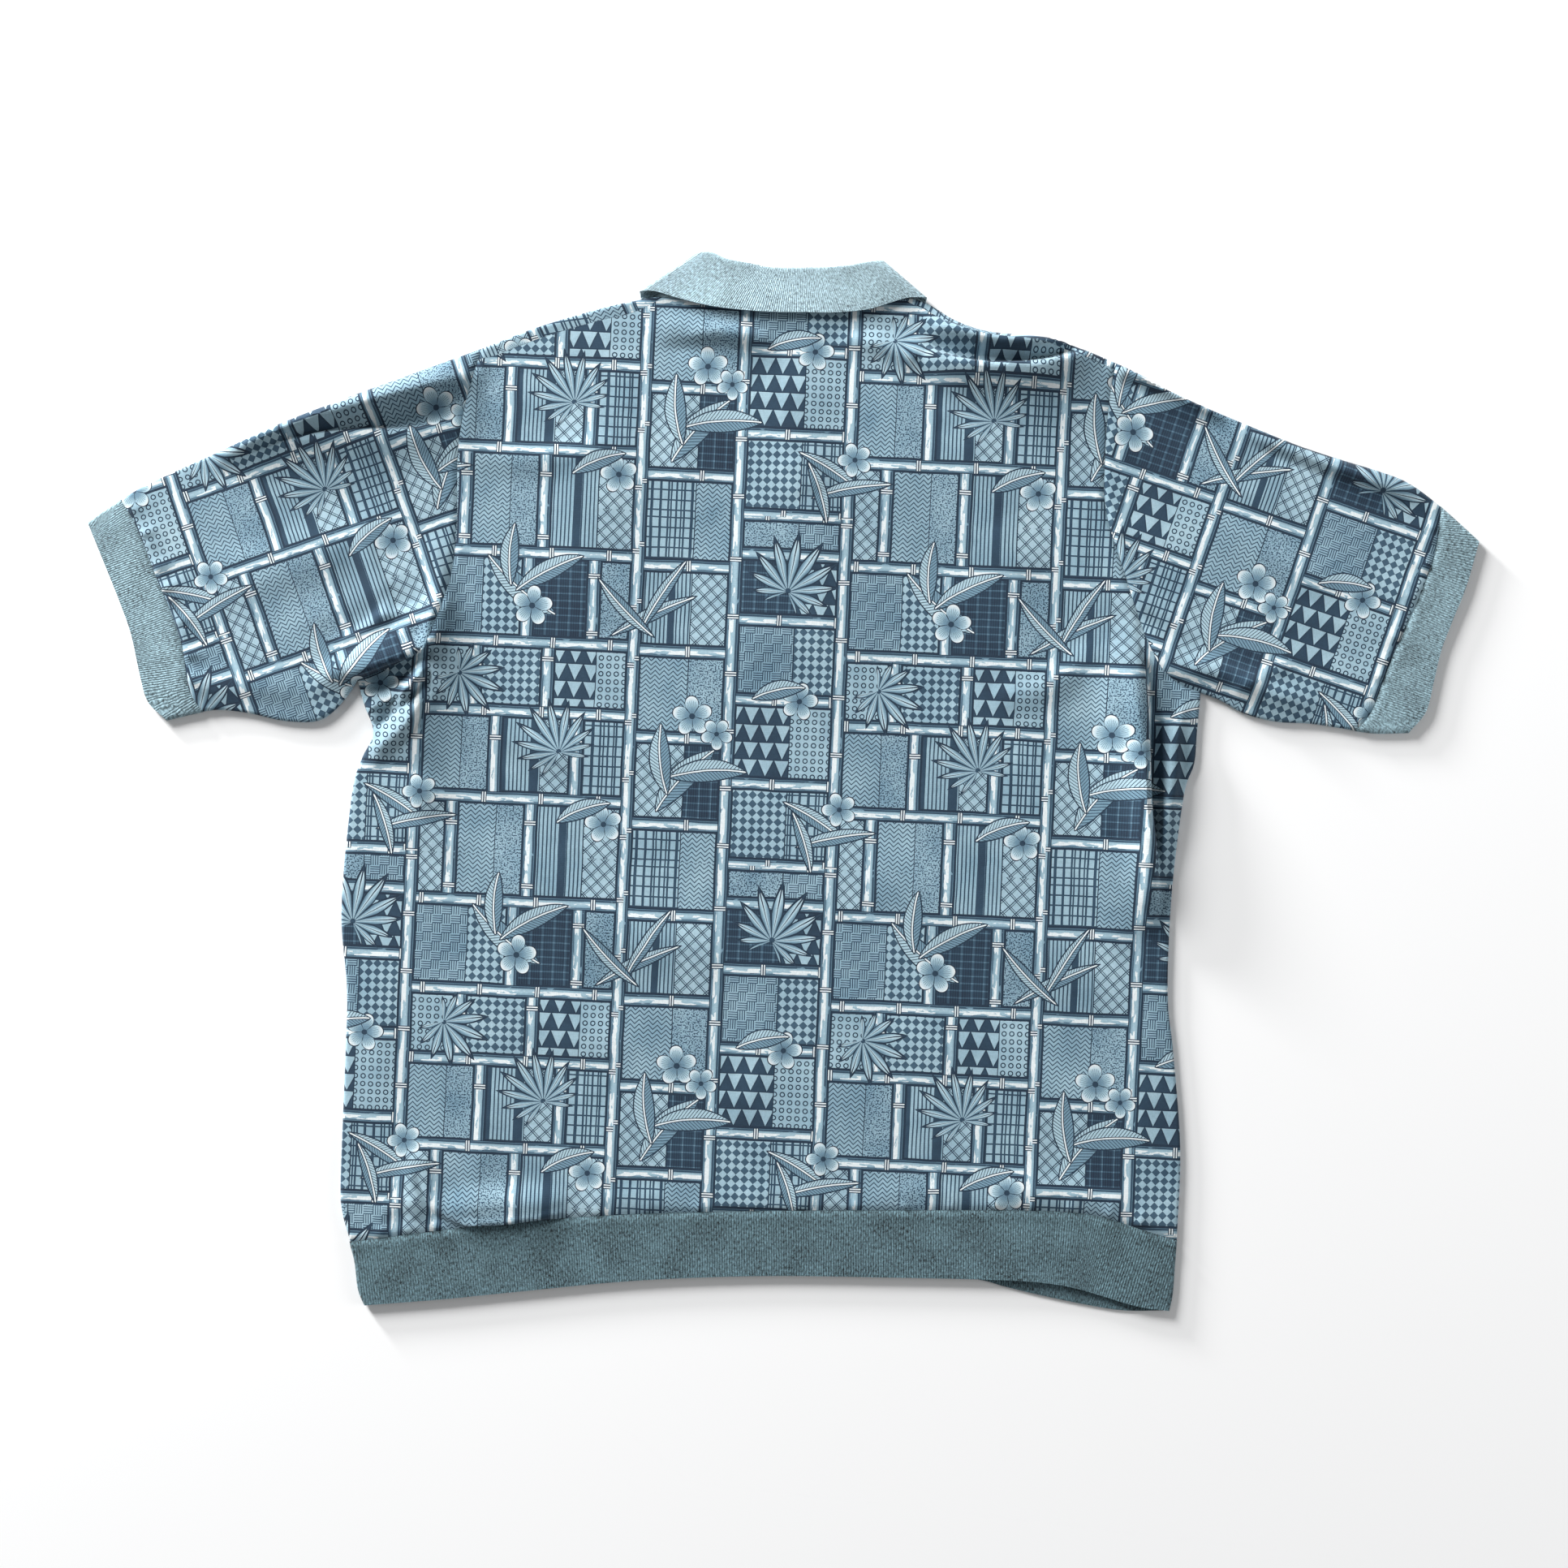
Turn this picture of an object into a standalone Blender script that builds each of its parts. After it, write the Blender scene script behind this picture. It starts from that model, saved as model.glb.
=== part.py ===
"""A polo shirt with knitted collar, cuffs and hem band, laid flat on its front with its back upwards.

Plan sizes are millimetres: x to the right and y towards the collar, as the shirt lies, z up from the floor.
Every piece is a wall of cloth. Two layers make the shirt: the lower one rests on the floor, and the upper one
lies on it at a distance called the loft, which the folds raise. At a folded edge the layers turn into each other.
A piece's outline is a loop of stations that it shares with its neighbours, and triangles fill it.
"""

import math

import bpy
import numpy as np
from mathutils.geometry import delaunay_2d_cdt

MM = 0.001

# Walls
WALL = 1.6
PLACKET_WALL = 1.2

# Spacing
SEAM_GAP = 0.52
COLLAR_SEAM_GAP = 1.1
SLEEVE_SEAM_GAP = 0.9
LAYER_GAP = 0.4
LOFT = 3.2
LEAST_LOFT = 2.8

# Placket and buttons, on the front that lies on the floor
PLACKET_X = 3.0
PLACKET_WIDTH = 30.0
PLACKET_FOOT = 112.0
PLACKET_EXTRA_LOFT = 0.8
BUTTON_Y = (250.0, 195.0, 140.0)
BUTTON_RADIUS = 5.75
BUTTON_THICK = 2.0
BUTTON_CLEAR = 0.2

# What lifts the front off the floor: the collar's leaves lie under it, and so do the buttons
NECK_CENTRE = (1.0, 300.0)
NECK_REACH = (125.0, 95.0)
COLLAR_RISE = WALL + LAYER_GAP + 0.3
BUTTON_RISE = BUTTON_CLEAR + BUTTON_THICK + LAYER_GAP
LEAF_DROP = 2.3  # between a collar leaf's middle and that of the cloth it lies on
COLLAR_LIFT = 1.6

# Outline: x, y of each station
TOP_LEFT = (  # neck, along the shoulder and sleeve, to the cuff's mouth
    (-90, 347.5), (-129, 339.3), (-175, 326), (-215.5, 310.5), (-267, 291.5), (-313, 274.3),
    (-359, 256.4), (-405, 235.8), (-451, 215.1), (-474, 202), (-497, 186),
)
TOP_RIGHT = (
    (91, 346.5), (103, 342.5), (124, 330), (147, 322.6), (193, 316.8), (237.8, 300.2), (285, 276),
    (331, 256.4), (377, 238.1), (423, 223.7), (446, 215.1), (468, 199.5), (498, 172.5),
)
UNDER_LEFT = (  # armpit to the cuff's mouth
    (-304, 74), (-314, 60), (-325, 49), (-337, 44.3), (-359, 45.4), (-382, 50.6), (-405, 52.9),
    (-424, 49.5), (-441, 45.4),
)
UNDER_RIGHT = (
    (298.7, 65), (312.5, 60), (331, 50), (354, 44.3), (377, 43.1), (400, 39.7), (423, 36.2), (448, 36.5),
)
SIDE_LEFT = (  # hem seam to armpit
    (-309, -328), (-314.5, -308), (-316, -285), (-312.5, -193), (-311.5, -147), (-315.4, -89),
    (-308, -8.6), (-301, 17), (-292.5, 36), (-299, 56), (-304, 74),
)
SIDE_RIGHT = (
    (281.5, -327), (284, -262), (279, -193), (275, -150), (278, -78), (286.6, -8.6), (294, 14),
    (296, 37), (298.7, 65),
)
BAND_LEFT = ((-309, -328), (-304, -342), (-300.5, -362), (-297, -371))
BAND_RIGHT = ((281.5, -327), (280, -345), (278.5, -365), (276, -377.5))

# Seams: x, y of each station
ARMHOLE_LEFT = (  # armpit to the shoulder's tip
    (-304, 74), (-289, 80), (-272.8, 88), (-254.4, 103.5), (-240, 139.7), (-233.5, 180), (-232.6, 233),
    (-226.8, 273), (-215.5, 310.5),
)
ARMHOLE_RIGHT = (
    (298.7, 65), (284, 71), (270, 84), (257.9, 108.7), (244.5, 149.6), (231, 196), (230.5, 236),
    (233.7, 275), (237.8, 300.2),
)
FRONT_SCOOP = 9.0
SHOULDER_WRAP = (8.0, 4.5)  # how far the front comes over the left and the right shoulder
NECK_WRAP = 4.0
CUFF_SEAM_LEFT = ((-473.5, 202.5), (-462.6, 184), (-449, 149.5), (-439, 125.4), (-430.4, 100.6), (-424, 66), (-415, 51.5))
CUFF_SEAM_RIGHT = ((471, 197), (466.4, 164), (455, 132.5), (438.4, 95.5), (429, 72), (421, 51), (410, 38))
CUFF_MOUTH_LEFT = ((-497, 186), (-484, 154), (-474, 129), (-466, 106), (-459.5, 76), (-454, 58), (-441, 45.4))
CUFF_MOUTH_RIGHT = ((498, 172.5), (489, 141), (479.8, 118), (471, 95), (465.5, 72), (460, 51), (448, 36.5))
HEM_SEAM = (
    (-309, -328), (-252.7, -320.9), (-197, -314.5), (-118.7, -308.8), (-20, -306), (78, -305.5), (170, -305.5),
    (206, -307), (229, -310.5), (262, -321), (281.5, -327),
)
HEM_EDGE_BACK = (
    (-297, -371), (-244, -369.2), (-198, -364.6), (-106, -355.9), (-14, -352.5), (78, -353.6), (150, -355.2),
    (183, -357.1), (205.6, -360.5), (229, -367), (253, -374.2), (276, -377.5),
)
HEM_EDGE_FRONT = (
    (-297, -371), (-244, -367.5), (-198, -363), (-106, -354.2), (-14, -351), (78, -352), (135, -354.8),
    (159, -360.5), (183, -366.3), (217.6, -373.5), (245, -377.6), (276, -377.5),
)
BACK_NECK = ((-90, 347.5), (-45, 343), (3, 342), (48, 343), (91, 346.5))
FRONT_NECK_LEFT = ((-90, 347.5), (-84, 318), (-66, 288), (-38, 269), (-12, 262))
FRONT_NECK_RIGHT = ((91, 346.5), (87, 318), (70, 288), (43, 269), (18, 262))

# The collar's other lines: where it folds, and its free edge
FOLD_BACK = (
    (-60, 379), (-50.5, 378.5), (-41, 374.2), (-25, 371), (-6.7, 367.8), (21, 367.8), (44.4, 369), (60, 372), (70, 373),
)
EDGE_BACK = (
    (-102.5, 350.5), (-91.9, 351), (-72.2, 345.1), (-50.2, 339.9), (-25.2, 337), (-3.8, 335.8), (18.3, 335.6),
    (36.8, 335.4), (60, 337.6), (75.7, 342.2), (89.6, 346.3), (103, 346.3),
)
FOLD_FRONT_LEFT = ((-60, 379), (-55, 350), (-41, 320), (-20, 299), (1.5, 291))
FOLD_FRONT_RIGHT = ((70, 373), (63, 348), (48, 320), (26, 299), (4.5, 291))
EDGE_FRONT_LEFT = ((-102.5, 350.5), (-98, 322), (-86, 287), (-66, 256), (-40, 226))
EDGE_FRONT_RIGHT = ((103, 346.3), (101, 320), (91, 287), (72, 256), (46, 226))

# Folds of the upper layer: height, width on the left and on the right of the crest as it runs, the crest's x, y
FOLDS = {
    "left shoulder roll": (6.5, 9, 13, ((-232, 287), (-270, 277), (-315, 265), (-360, 250), (-400, 233))),
    "left shoulder, under the roll": (3.0, 14, 6, ((-238, 256), (-275, 247), (-315, 247), (-350, 242))),
    "right shoulder roll": (3.0, 7, 7, ((104, 334), (125, 322), (155, 314), (195, 310))),
    "right shoulder fold": (7.0, 4, 17, ((100, 310), (122, 300), (150, 296.5), (185, 298), (214, 306))),
    "right sleeve roll": (5.0, 9, 6, ((245, 290), (275, 274), (305, 262))),
    "right sleeve roll, outer part": (3.5, 8, 8, ((365, 232), (410, 217), (445, 204))),
    "left armpit, sleeve side": (6.5, 7, 11, ((-330, 74), (-300, 93), (-268, 108), (-246, 128))),
    "left armpit, body side": (7.5, 5, 16, ((-284, 30), (-270, 62), (-256, 94), (-249, 120))),
    "left flank": (3.5, 14, 14, ((-262, 35), (-258, -26))),
    "right flank pleat": (8.5, 5.5, 20, ((245, 86), (251, 40), (255, -5), (258, -50), (261, -92))),
    "right flank, outer ridge": (4.5, 6, 6, ((281, 50), (279, 10), (274, -30), (270, -62))),
    "right armpit, sleeve side": (5.5, 8, 9, ((264, 100), (284, 84), (312, 80), (345, 66), (371, 58))),
    "left hem blousing": (4.5, 9, 6, ((-240, -302), (-200, -299), (-160, -297))),
    "left hem upright": (3.0, 9, 9, ((-262, -262), (-256, -300))),
    "right hem blousing": (2.6, 12, 9, ((150, -293), (200, -293), (245, -302))),
    "neck, left": (3.0, 8, 10, ((-88, 326), (-54, 325), (-20, 319))),
    "neck, right": (3.0, 9, 10, ((58, 319), (82, 312), (100, 303))),
    "left shoulder blade": (2.2, 26, 26, ((-120, 250), (-140, 170), (-120, 110))),
    "right shoulder blade": (2.4, 30, 24, ((120, 255), (150, 190), (165, 120))),
    "middle of the back": (2.0, 18, 18, ((8, 235), (18, 205))),
    "waist, left": (2.4, 24, 24, ((-200, -60), (-120, -110), (-40, -120))),
    "waist, right": (2.2, 26, 22, ((60, -60), (140, -100), (210, -150))),
    "left sleeve, lower": (2.4, 10, 12, ((-345, 66), (-385, 70), (-425, 66))),
    "right sleeve, middle": (2.6, 16, 16, ((300, 190), (350, 160), (400, 140))),
    "left sleeve, middle": (2.4, 16, 16, ((-280, 190), (-340, 160), (-400, 140))),
}

# Stations along the outlines and points inside them
ROLL_AT = (0.6, 2.0)  # millimetres in from a folded edge
STEP_SIDE, STEP_HEM, STEP_ARM, STEP_TOP, STEP_NECK, STEP_CUFF, STEP_BAND = 19, 23, 17, 17, 17, 15, 12
UPPER_STEP, LOWER_STEP = 24.0, 42.0
FOLD_STEP = 15.0
ACROSS_FOLD = (-2.0, -1.15, -0.5, 0.0, 0.5, 1.15, 2.0)  # in widths of the fold, from its crest
SLOT_AT = (0, 0.25, 0.5, 0.75, 1)
STAND_AT = (0.3, 0.65)
LEAF_AT = (0.3, 0.65, 1)
BUTTON_SIDES = 16


# ---------------------------------------------------------------- lines in plan


def smooth(points, steps=12):
    """A smooth line through the points, with that many steps between each two."""
    p = np.array(points, float)
    p = np.vstack([2 * p[0] - p[1], p, 2 * p[-1] - p[-2]])
    t = np.linspace(0, 1, steps, endpoint=False)[:, None]
    spans = []
    for a, b, c, d in zip(p[:-3], p[1:-2], p[2:-1], p[3:]):
        spans.append(0.5 * (2 * b + (c - a) * t + (2 * a - 5 * b + 4 * c - d) * t**2 + (3 * b - 3 * c + d - a) * t**3))
    return np.vstack([*spans, p[-2:-1]])


def lengths(line):
    return np.concatenate([[0], np.cumsum(np.linalg.norm(np.diff(line, axis=0), axis=1))])


def at_length(line, far):
    """Points of a line at distances along it."""
    s = lengths(line)
    return np.stack([np.interp(far, s, line[:, k]) for k in range(line.shape[1])], axis=-1)


def at_share(line, share):
    return at_length(line, np.asarray(share, float) * lengths(line)[-1])


def split(line, point):
    """The line up to its point nearest to this one, and from there on."""
    k = np.linalg.norm(line - np.array(point), axis=1).argmin()
    return line[: k + 1], line[k:]


def to_line(x, y, line):
    """Distance of each point from a line, and its side: positive on the left as the line runs."""
    p = np.stack([np.ravel(x), np.ravel(y)], axis=1).astype(float)
    best = np.full(len(p), np.inf)
    side = np.zeros(len(p))
    for a, b in zip(line[:-1], line[1:]):
        d = b - a
        t = np.clip(((p - a) @ d) / (d @ d), 0, 1)
        off = p - a - t[:, None] * d
        far = np.linalg.norm(off, axis=1)
        nearer = far < best
        best[nearer] = far[nearer]
        side[nearer] = np.sign(d[0] * off[:, 1] - d[1] * off[:, 0])[nearer]
    return best.reshape(np.shape(x)), side.reshape(np.shape(x))


def run_on(line, start=False, end=True, by=60.0):
    """The line, run on straight past its ends."""
    parts = [line]
    if start:
        way = line[0] - line[1]
        parts.insert(0, (line[0] + way / np.linalg.norm(way) * by)[None])
    if end:
        way = line[-1] - line[-2]
        parts.append((line[-1] + way / np.linalg.norm(way) * by)[None])
    return np.vstack(parts)


def folded_edges():
    """The lines at which the two layers turn into each other."""
    edges = [run_on(smooth(TOP_LEFT)), run_on(smooth(TOP_RIGHT))]
    for under, side, band in ((UNDER_LEFT, SIDE_LEFT, BAND_LEFT), (UNDER_RIGHT, SIDE_RIGHT, BAND_RIGHT)):
        line = np.vstack([smooth(under)[::-1], smooth(side)[::-1][1:], smooth(band)[1:]])
        edges.append(run_on(line, start=True))
    return edges


EDGES = folded_edges()


# ---------------------------------------------------------------- heights


def smoothstep(low, high, value):
    t = np.clip((value - low) / (high - low), 0, 1)
    return t * t * (3 - 2 * t)


def over_placket(x, y):
    across = 1 - smoothstep(PLACKET_WIDTH / 2 + 3, PLACKET_WIDTH / 2 + 26, np.abs(x - PLACKET_X))
    return across * smoothstep(PLACKET_FOOT - 32, PLACKET_FOOT - 4, y) * (1 - smoothstep(272, 292, y))


def rise(x, y):
    """How far the front lies above the floor."""
    r = np.hypot((x - NECK_CENTRE[0]) / NECK_REACH[0], (y - NECK_CENTRE[1]) / NECK_REACH[1])
    return np.maximum(COLLAR_RISE * (1 - smoothstep(1.0, 1.35, r)), BUTTON_RISE * over_placket(x, y))


def loft(x, y):
    """Distance between the middles of the two layers."""
    total = LOFT + PLACKET_EXTRA_LOFT * over_placket(x, y)
    for height, left, right, crest in FOLDS.values():
        far, side = to_line(x, y, smooth(crest, 5))
        total = total + height * np.exp(-((far / np.where(side > 0, left, right)) ** 2))
    return np.maximum(total, LEAST_LOFT)


def turned(x, y, apart):
    """1 where the layers lie flat, and down to 0 at a folded edge, round a half circle."""
    far = np.min([to_line(x, y, edge)[0] for edge in EDGES], axis=0)
    return np.sqrt(1 - np.clip(1 - far / (apart / 2), 0, 1) ** 2)


def upper(plan):
    """Points of the upper layer over points in plan."""
    x, y = plan[:, 0], plan[:, 1]
    apart = loft(x, y)
    return np.column_stack([x, y, WALL / 2 + rise(x, y) + apart * (1 + turned(x, y, apart)) / 2])


def lower(plan):
    x, y = plan[:, 0], plan[:, 1]
    apart = loft(x, y)
    return np.column_stack([x, y, WALL / 2 + rise(x, y) + apart * (1 - turned(x, y, apart)) / 2])


# ---------------------------------------------------------------- sheets


def stations(line, step, close=(False, False)):
    """Even stations along a line, with the close ones that a folded edge needs at either end."""
    whole = lengths(line)[-1]
    far = list(np.linspace(0, whole, max(2, round(whole / step)) + 1))
    if close[0]:
        far[1:1] = ROLL_AT
    if close[1]:
        far[-1:-1] = [whole - r for r in ROLL_AT[::-1]]
    return at_length(line, np.array(far))


def loop_of(*lines):
    """A closed outline from lines that follow on from each other."""
    loop = np.vstack(lines)
    keep = np.linalg.norm(loop - np.roll(loop, 1, axis=0), axis=1) > 1e-6
    return loop[keep]


def inside(loop, spots):
    x, y = spots[:, 0:1], spots[:, 1:2]
    a, b = loop, np.roll(loop, -1, axis=0)
    crosses = (a[:, 1] > y) != (b[:, 1] > y)
    at = a[:, 0] + (y - a[:, 1]) * (b[:, 0] - a[:, 0]) / np.where(crosses, b[:, 1] - a[:, 1], 1)
    return (crosses & (x < at)).sum(axis=1) % 2 == 1


def roll_points(loop):
    """Points a little in from the folded edges, where the layers turn."""
    ahead, behind = np.roll(loop, -1, axis=0), np.roll(loop, 1, axis=0)
    area = (loop[:, 0] * ahead[:, 1] - ahead[:, 0] * loop[:, 1]).sum()
    way = unit(ahead - behind) * np.sign(area)
    inward = np.stack([-way[:, 1], way[:, 0]], axis=1)
    far = np.min([to_line(loop[:, 0], loop[:, 1], edge)[0] for edge in EDGES], axis=0)
    found = []
    for share in (0.29, 1.0):
        inset = loft(loop[:, 0], loop[:, 1]) / 2 * share
        spots = loop + inward * inset[:, None]
        clear = to_line(spots[:, 0], spots[:, 1], np.vstack([loop, loop[:1]]))[0] > 0.85 * inset
        found.append(spots[(far < 0.02) & clear & inside(loop, spots)])
    return np.vstack(found)


def fold_points():
    """Points along the folds' crests and across them."""
    found = []
    for _, left, right, crest in FOLDS.values():
        line = stations(smooth(crest), FOLD_STEP)
        way = unit(np.gradient(line, axis=0))
        aside = np.stack([-way[:, 1], way[:, 0]], axis=1)
        for share in ACROSS_FOLD:
            found.append(line + aside * share * (left if share > 0 else right))
    return np.vstack(found)


def lattice(loop, step):
    low, high = loop.min(axis=0), loop.max(axis=0)
    rows = np.arange(low[1], high[1], step * 0.866)
    spots = [(x + step / 2 * (i % 2), y) for i, y in enumerate(rows) for x in np.arange(low[0], high[0], step)]
    return np.array(spots)


def fill(loop, step, with_folds):
    """Triangles inside an outline in plan: its own stations come first among the points."""
    rim = np.vstack([loop, loop[:1]])
    points = np.vstack([loop, roll_points(loop)])
    wanted = [(lattice(loop, step), 0.42 * step, 0.5 * step)]
    if with_folds:
        wanted.insert(0, (fold_points(), 3.2, 3.4))
    for spots, from_rim, from_others in wanted:
        spots = spots[inside(loop, spots)]
        spots = spots[to_line(spots[:, 0], spots[:, 1], rim)[0] > from_rim]
        for spot in spots:
            if np.linalg.norm(points - spot, axis=1).min() > from_others:
                points = np.vstack([points, spot])
    count = len(loop)
    edges = [(k, (k + 1) % count) for k in range(count)]
    found = delaunay_2d_cdt([tuple(p) for p in points], edges, [], 1, 1e-5)
    plan = np.array([tuple(p) for p in found[0]])
    order = [origin[0] for origin in found[3]]
    back = {new: old for new, old in enumerate(order)}
    cells = []
    for a, b, c in found[2]:
        cross = np.cross(plan[b] - plan[a], plan[c] - plan[a])
        cells.append((back[a], back[b], back[c]) if cross > 0 else (back[a], back[c], back[b]))
    return points, cells


def layer(loop, level, step, with_folds=True):
    """A sheet's part in one layer: the upper one faces up and the lower one down."""
    plan, cells = fill(loop, step, with_folds)
    if level is lower:
        cells = [cell[::-1] for cell in cells]
    return level(plan), cells


class Piece:
    """A sheet: the points of its middle surface and its cells, turning anticlockwise seen from outside."""

    def __init__(self, name, material, parts, thick=WALL, gap=SEAM_GAP):
        self.name, self.material, self.thick, self.gap = name, material, thick, gap
        number, self.cells, kept = {}, [], []
        for points, cells in parts:
            index = []
            for point in points:
                key = key_of(point)
                if key not in number:
                    number[key] = len(kept)
                    kept.append(point)
                index.append(number[key])
            self.cells += [tuple(index[k] for k in cell) for cell in cells]
        self.points = np.array(kept)

    def normals(self):
        """Each point's normal, from its cells by their angle there."""
        total = np.zeros_like(self.points)
        for cell in self.cells:
            corners = self.points[list(cell)]
            ahead = unit(np.roll(corners, -1, axis=0) - corners)
            behind = unit(np.roll(corners, 1, axis=0) - corners)
            angle = np.arccos(np.clip((ahead * behind).sum(axis=1), -1, 1))
            way = np.cross(corners[2] - corners[0], corners[-1] - corners[1])
            total[list(cell)] += angle[:, None] * way / np.linalg.norm(way)
        return total

    def border(self):
        """The border's edges, each with its cell."""
        owner = {}
        for cell in self.cells:
            for a, b in zip(cell, cell[1:] + cell[:1]):
                owner[(a, b)] = cell
        return {edge: cell for edge, cell in owner.items() if edge[::-1] not in owner}

    def opened(self, by):
        """The points, with those of the border drawn in by this much along the sheet."""
        ways = {}
        for (a, b), cell in self.border().items():
            edge = self.points[b] - self.points[a]
            edge = edge / np.linalg.norm(edge)
            inner = self.points[list(cell)].mean(axis=0) - self.points[a]
            inner = inner - edge * (inner @ edge)
            inner = inner / np.linalg.norm(inner)
            ways.setdefault(a, []).append(inner)
            ways.setdefault(b, []).append(inner)
        out = self.points.copy()
        for k, found in ways.items():
            out[k] += np.sum(found, axis=0) * by / max(0.5, 1 + found[0] @ found[-1])
        return out


def key_of(point):
    return tuple(np.round(point, 2) + 0.0)


def unit(ways):
    return ways / np.linalg.norm(ways, axis=1, keepdims=True)


def build_walls(pieces):
    """Makes each sheet a closed wall. Sheets that meet at a seam share their normals there."""
    shared = {}
    for piece in pieces:
        for point, way in zip(piece.points, piece.normals()):
            shared[key_of(point)] = shared.get(key_of(point), 0) + way
    for piece in pieces:
        ways = unit(np.array([shared[key_of(point)] for point in piece.points]))
        points = piece.opened(piece.gap / 2)
        count = len(points)
        verts = np.vstack([points + ways * piece.thick / 2, points - ways * piece.thick / 2])
        verts[:, 2] = np.maximum(verts[:, 2], 0)
        faces = list(piece.cells) + [tuple(k + count for k in reversed(c)) for c in piece.cells]
        faces += [(b, a, a + count, b + count) for a, b in piece.border()]
        add_object(piece.name, verts, faces, piece.material)


def add_object(name, verts, faces, material):
    mesh = bpy.data.meshes.new(name)
    mesh.from_pydata((np.asarray(verts) * MM).tolist(), [], faces)
    mesh.materials.append(material)
    mesh.shade_smooth()
    mesh.set_sharp_from_angle(angle=math.radians(50))
    obj = bpy.data.objects.new(name, mesh)
    bpy.context.scene.collection.objects.link(obj)


def make_material(name, colour, roughness):
    made = bpy.data.materials.new(name)
    made.use_nodes = True
    shader = made.node_tree.nodes["Principled BSDF"]
    shader.inputs["Base Color"].default_value = (*colour, 1)
    shader.inputs["Roughness"].default_value = roughness
    shader.inputs["Metallic"].default_value = 0
    return made


# ---------------------------------------------------------------- seams that the pieces share


class Side:
    """One side's lines, each as stations: the left side is 0 and the right side 1."""

    def __init__(self, side):
        top, under, flank, band, armhole, cuff, mouth = (
            (TOP_LEFT, UNDER_LEFT, SIDE_LEFT, BAND_LEFT, ARMHOLE_LEFT, CUFF_SEAM_LEFT, CUFF_MOUTH_LEFT),
            (TOP_RIGHT, UNDER_RIGHT, SIDE_RIGHT, BAND_RIGHT, ARMHOLE_RIGHT, CUFF_SEAM_RIGHT, CUFF_MOUTH_RIGHT),
        )[side]
        wrap = SHOULDER_WRAP[side]
        shoulder, sleeve_top = split(smooth(top), armhole[-1])
        tip = shoulder[-1]
        self.flank = stations(smooth(flank), STEP_SIDE)
        self.band = stations(smooth(band), STEP_BAND)

        arm = np.vstack([smooth(armhole)[:-1], tip])
        whole = lengths(arm)[-1]
        far = lengths(stations(at_length(arm, np.linspace(0, whole - wrap, 80)), STEP_ARM, (True, False)))
        far = np.concatenate([far[:-1], [whole - wrap, whole - ROLL_AT[1], whole - ROLL_AT[0], whole]])
        self.arm = at_length(arm, far)
        self.front_arm = self.arm.copy()
        self.front_arm[:, 0] -= np.sign(tip[0]) * FRONT_SCOOP * np.sin(math.pi * far / whole)

        self.fold = stations(shoulder, STEP_TOP)  # neck to tip
        seam = shoulder_seam(shoulder, wrap)
        neck = smooth(BACK_NECK) if side == 0 else smooth(BACK_NECK)[::-1]
        self.neck_end = at_length(neck, np.array([0, NECK_WRAP]))
        seam = np.vstack([self.neck_end[-1], seam[2:-2], self.arm[-4]])
        self.seam = stations(seam, STEP_TOP)

        top_sleeve, top_cuff = split(np.vstack([tip, sleeve_top[1:]]), cuff[0])
        under_sleeve, under_cuff = split(smooth(under), cuff[-1])
        cuff = np.vstack([under_sleeve[-1], smooth(cuff)[1:-1][::-1], top_sleeve[-1]])
        self.sleeve_top, self.sleeve_under = stations(top_sleeve, STEP_TOP), stations(under_sleeve, STEP_TOP)
        self.cuff_top, self.cuff_under = stations(top_cuff, STEP_BAND), stations(under_cuff, STEP_BAND)
        self.cuff = stations(cuff, STEP_CUFF, (True, True))
        self.mouth = stations(smooth(mouth)[::-1], STEP_CUFF, (True, True))


def shoulder_seam(line, wrap):
    """The line on the upper layer as far in from the shoulder's folded edge as the front comes over."""
    away = unit(np.gradient(line, axis=0))
    inward = np.stack([away[:, 1], -away[:, 0]], axis=1)
    inward[inward[:, 1] > 0] *= -1
    far = NECK_WRAP + (wrap - NECK_WRAP) * smoothstep(0, 22, lengths(line))
    return line + inward * far[:, None]


# ---------------------------------------------------------------- pieces


def back_piece(cloth, left, right, hem, neck):
    loop = loop_of(hem, right.flank, right.arm[:-3], right.seam[::-1], neck[::-1], left.seam, left.arm[:-3][::-1], left.flank[::-1])
    return Piece("back_body", cloth, [layer(loop, upper, UPPER_STEP)])


def front_piece(cloth, left, right, hem, necks, slot):
    loop = loop_of(
        hem, right.flank, right.front_arm, right.fold[::-1], necks[1], slot,
        necks[0][::-1], left.fold, left.front_arm[::-1], left.flank[::-1],
    )
    parts = [layer(loop, lower, LOWER_STEP, False)]
    for side in (left, right):
        strip = loop_of(side.fold[::-1], side.neck_end, side.seam, side.arm[-4:])
        parts.append(layer(strip, upper, UPPER_STEP, False))
    return Piece("front_body", cloth, parts)


def tube_pieces(name, cloth, rib, side):
    """A sleeve and its cuff, each of two layers joined along both folded edges."""
    made = []
    for kind, stuff, lines in (
        ("sleeve", cloth, ((side.arm, side.front_arm), side.sleeve_top, side.cuff, side.sleeve_under)),
        ("cuff", rib, ((side.cuff, side.cuff), side.cuff_top, side.mouth, side.cuff_under)),
    ):
        starts, top, end, under = lines
        parts = []
        for start, level in zip(starts, (upper, lower)):
            loop = loop_of(start, top, end[::-1], under[::-1])
            parts.append(layer(loop, level, UPPER_STEP if level is upper else LOWER_STEP, level is upper))
        made.append(Piece(f"{kind}_{name}", stuff, parts, gap=SLEEVE_SEAM_GAP if kind == "sleeve" else SEAM_GAP))
    return made


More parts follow.
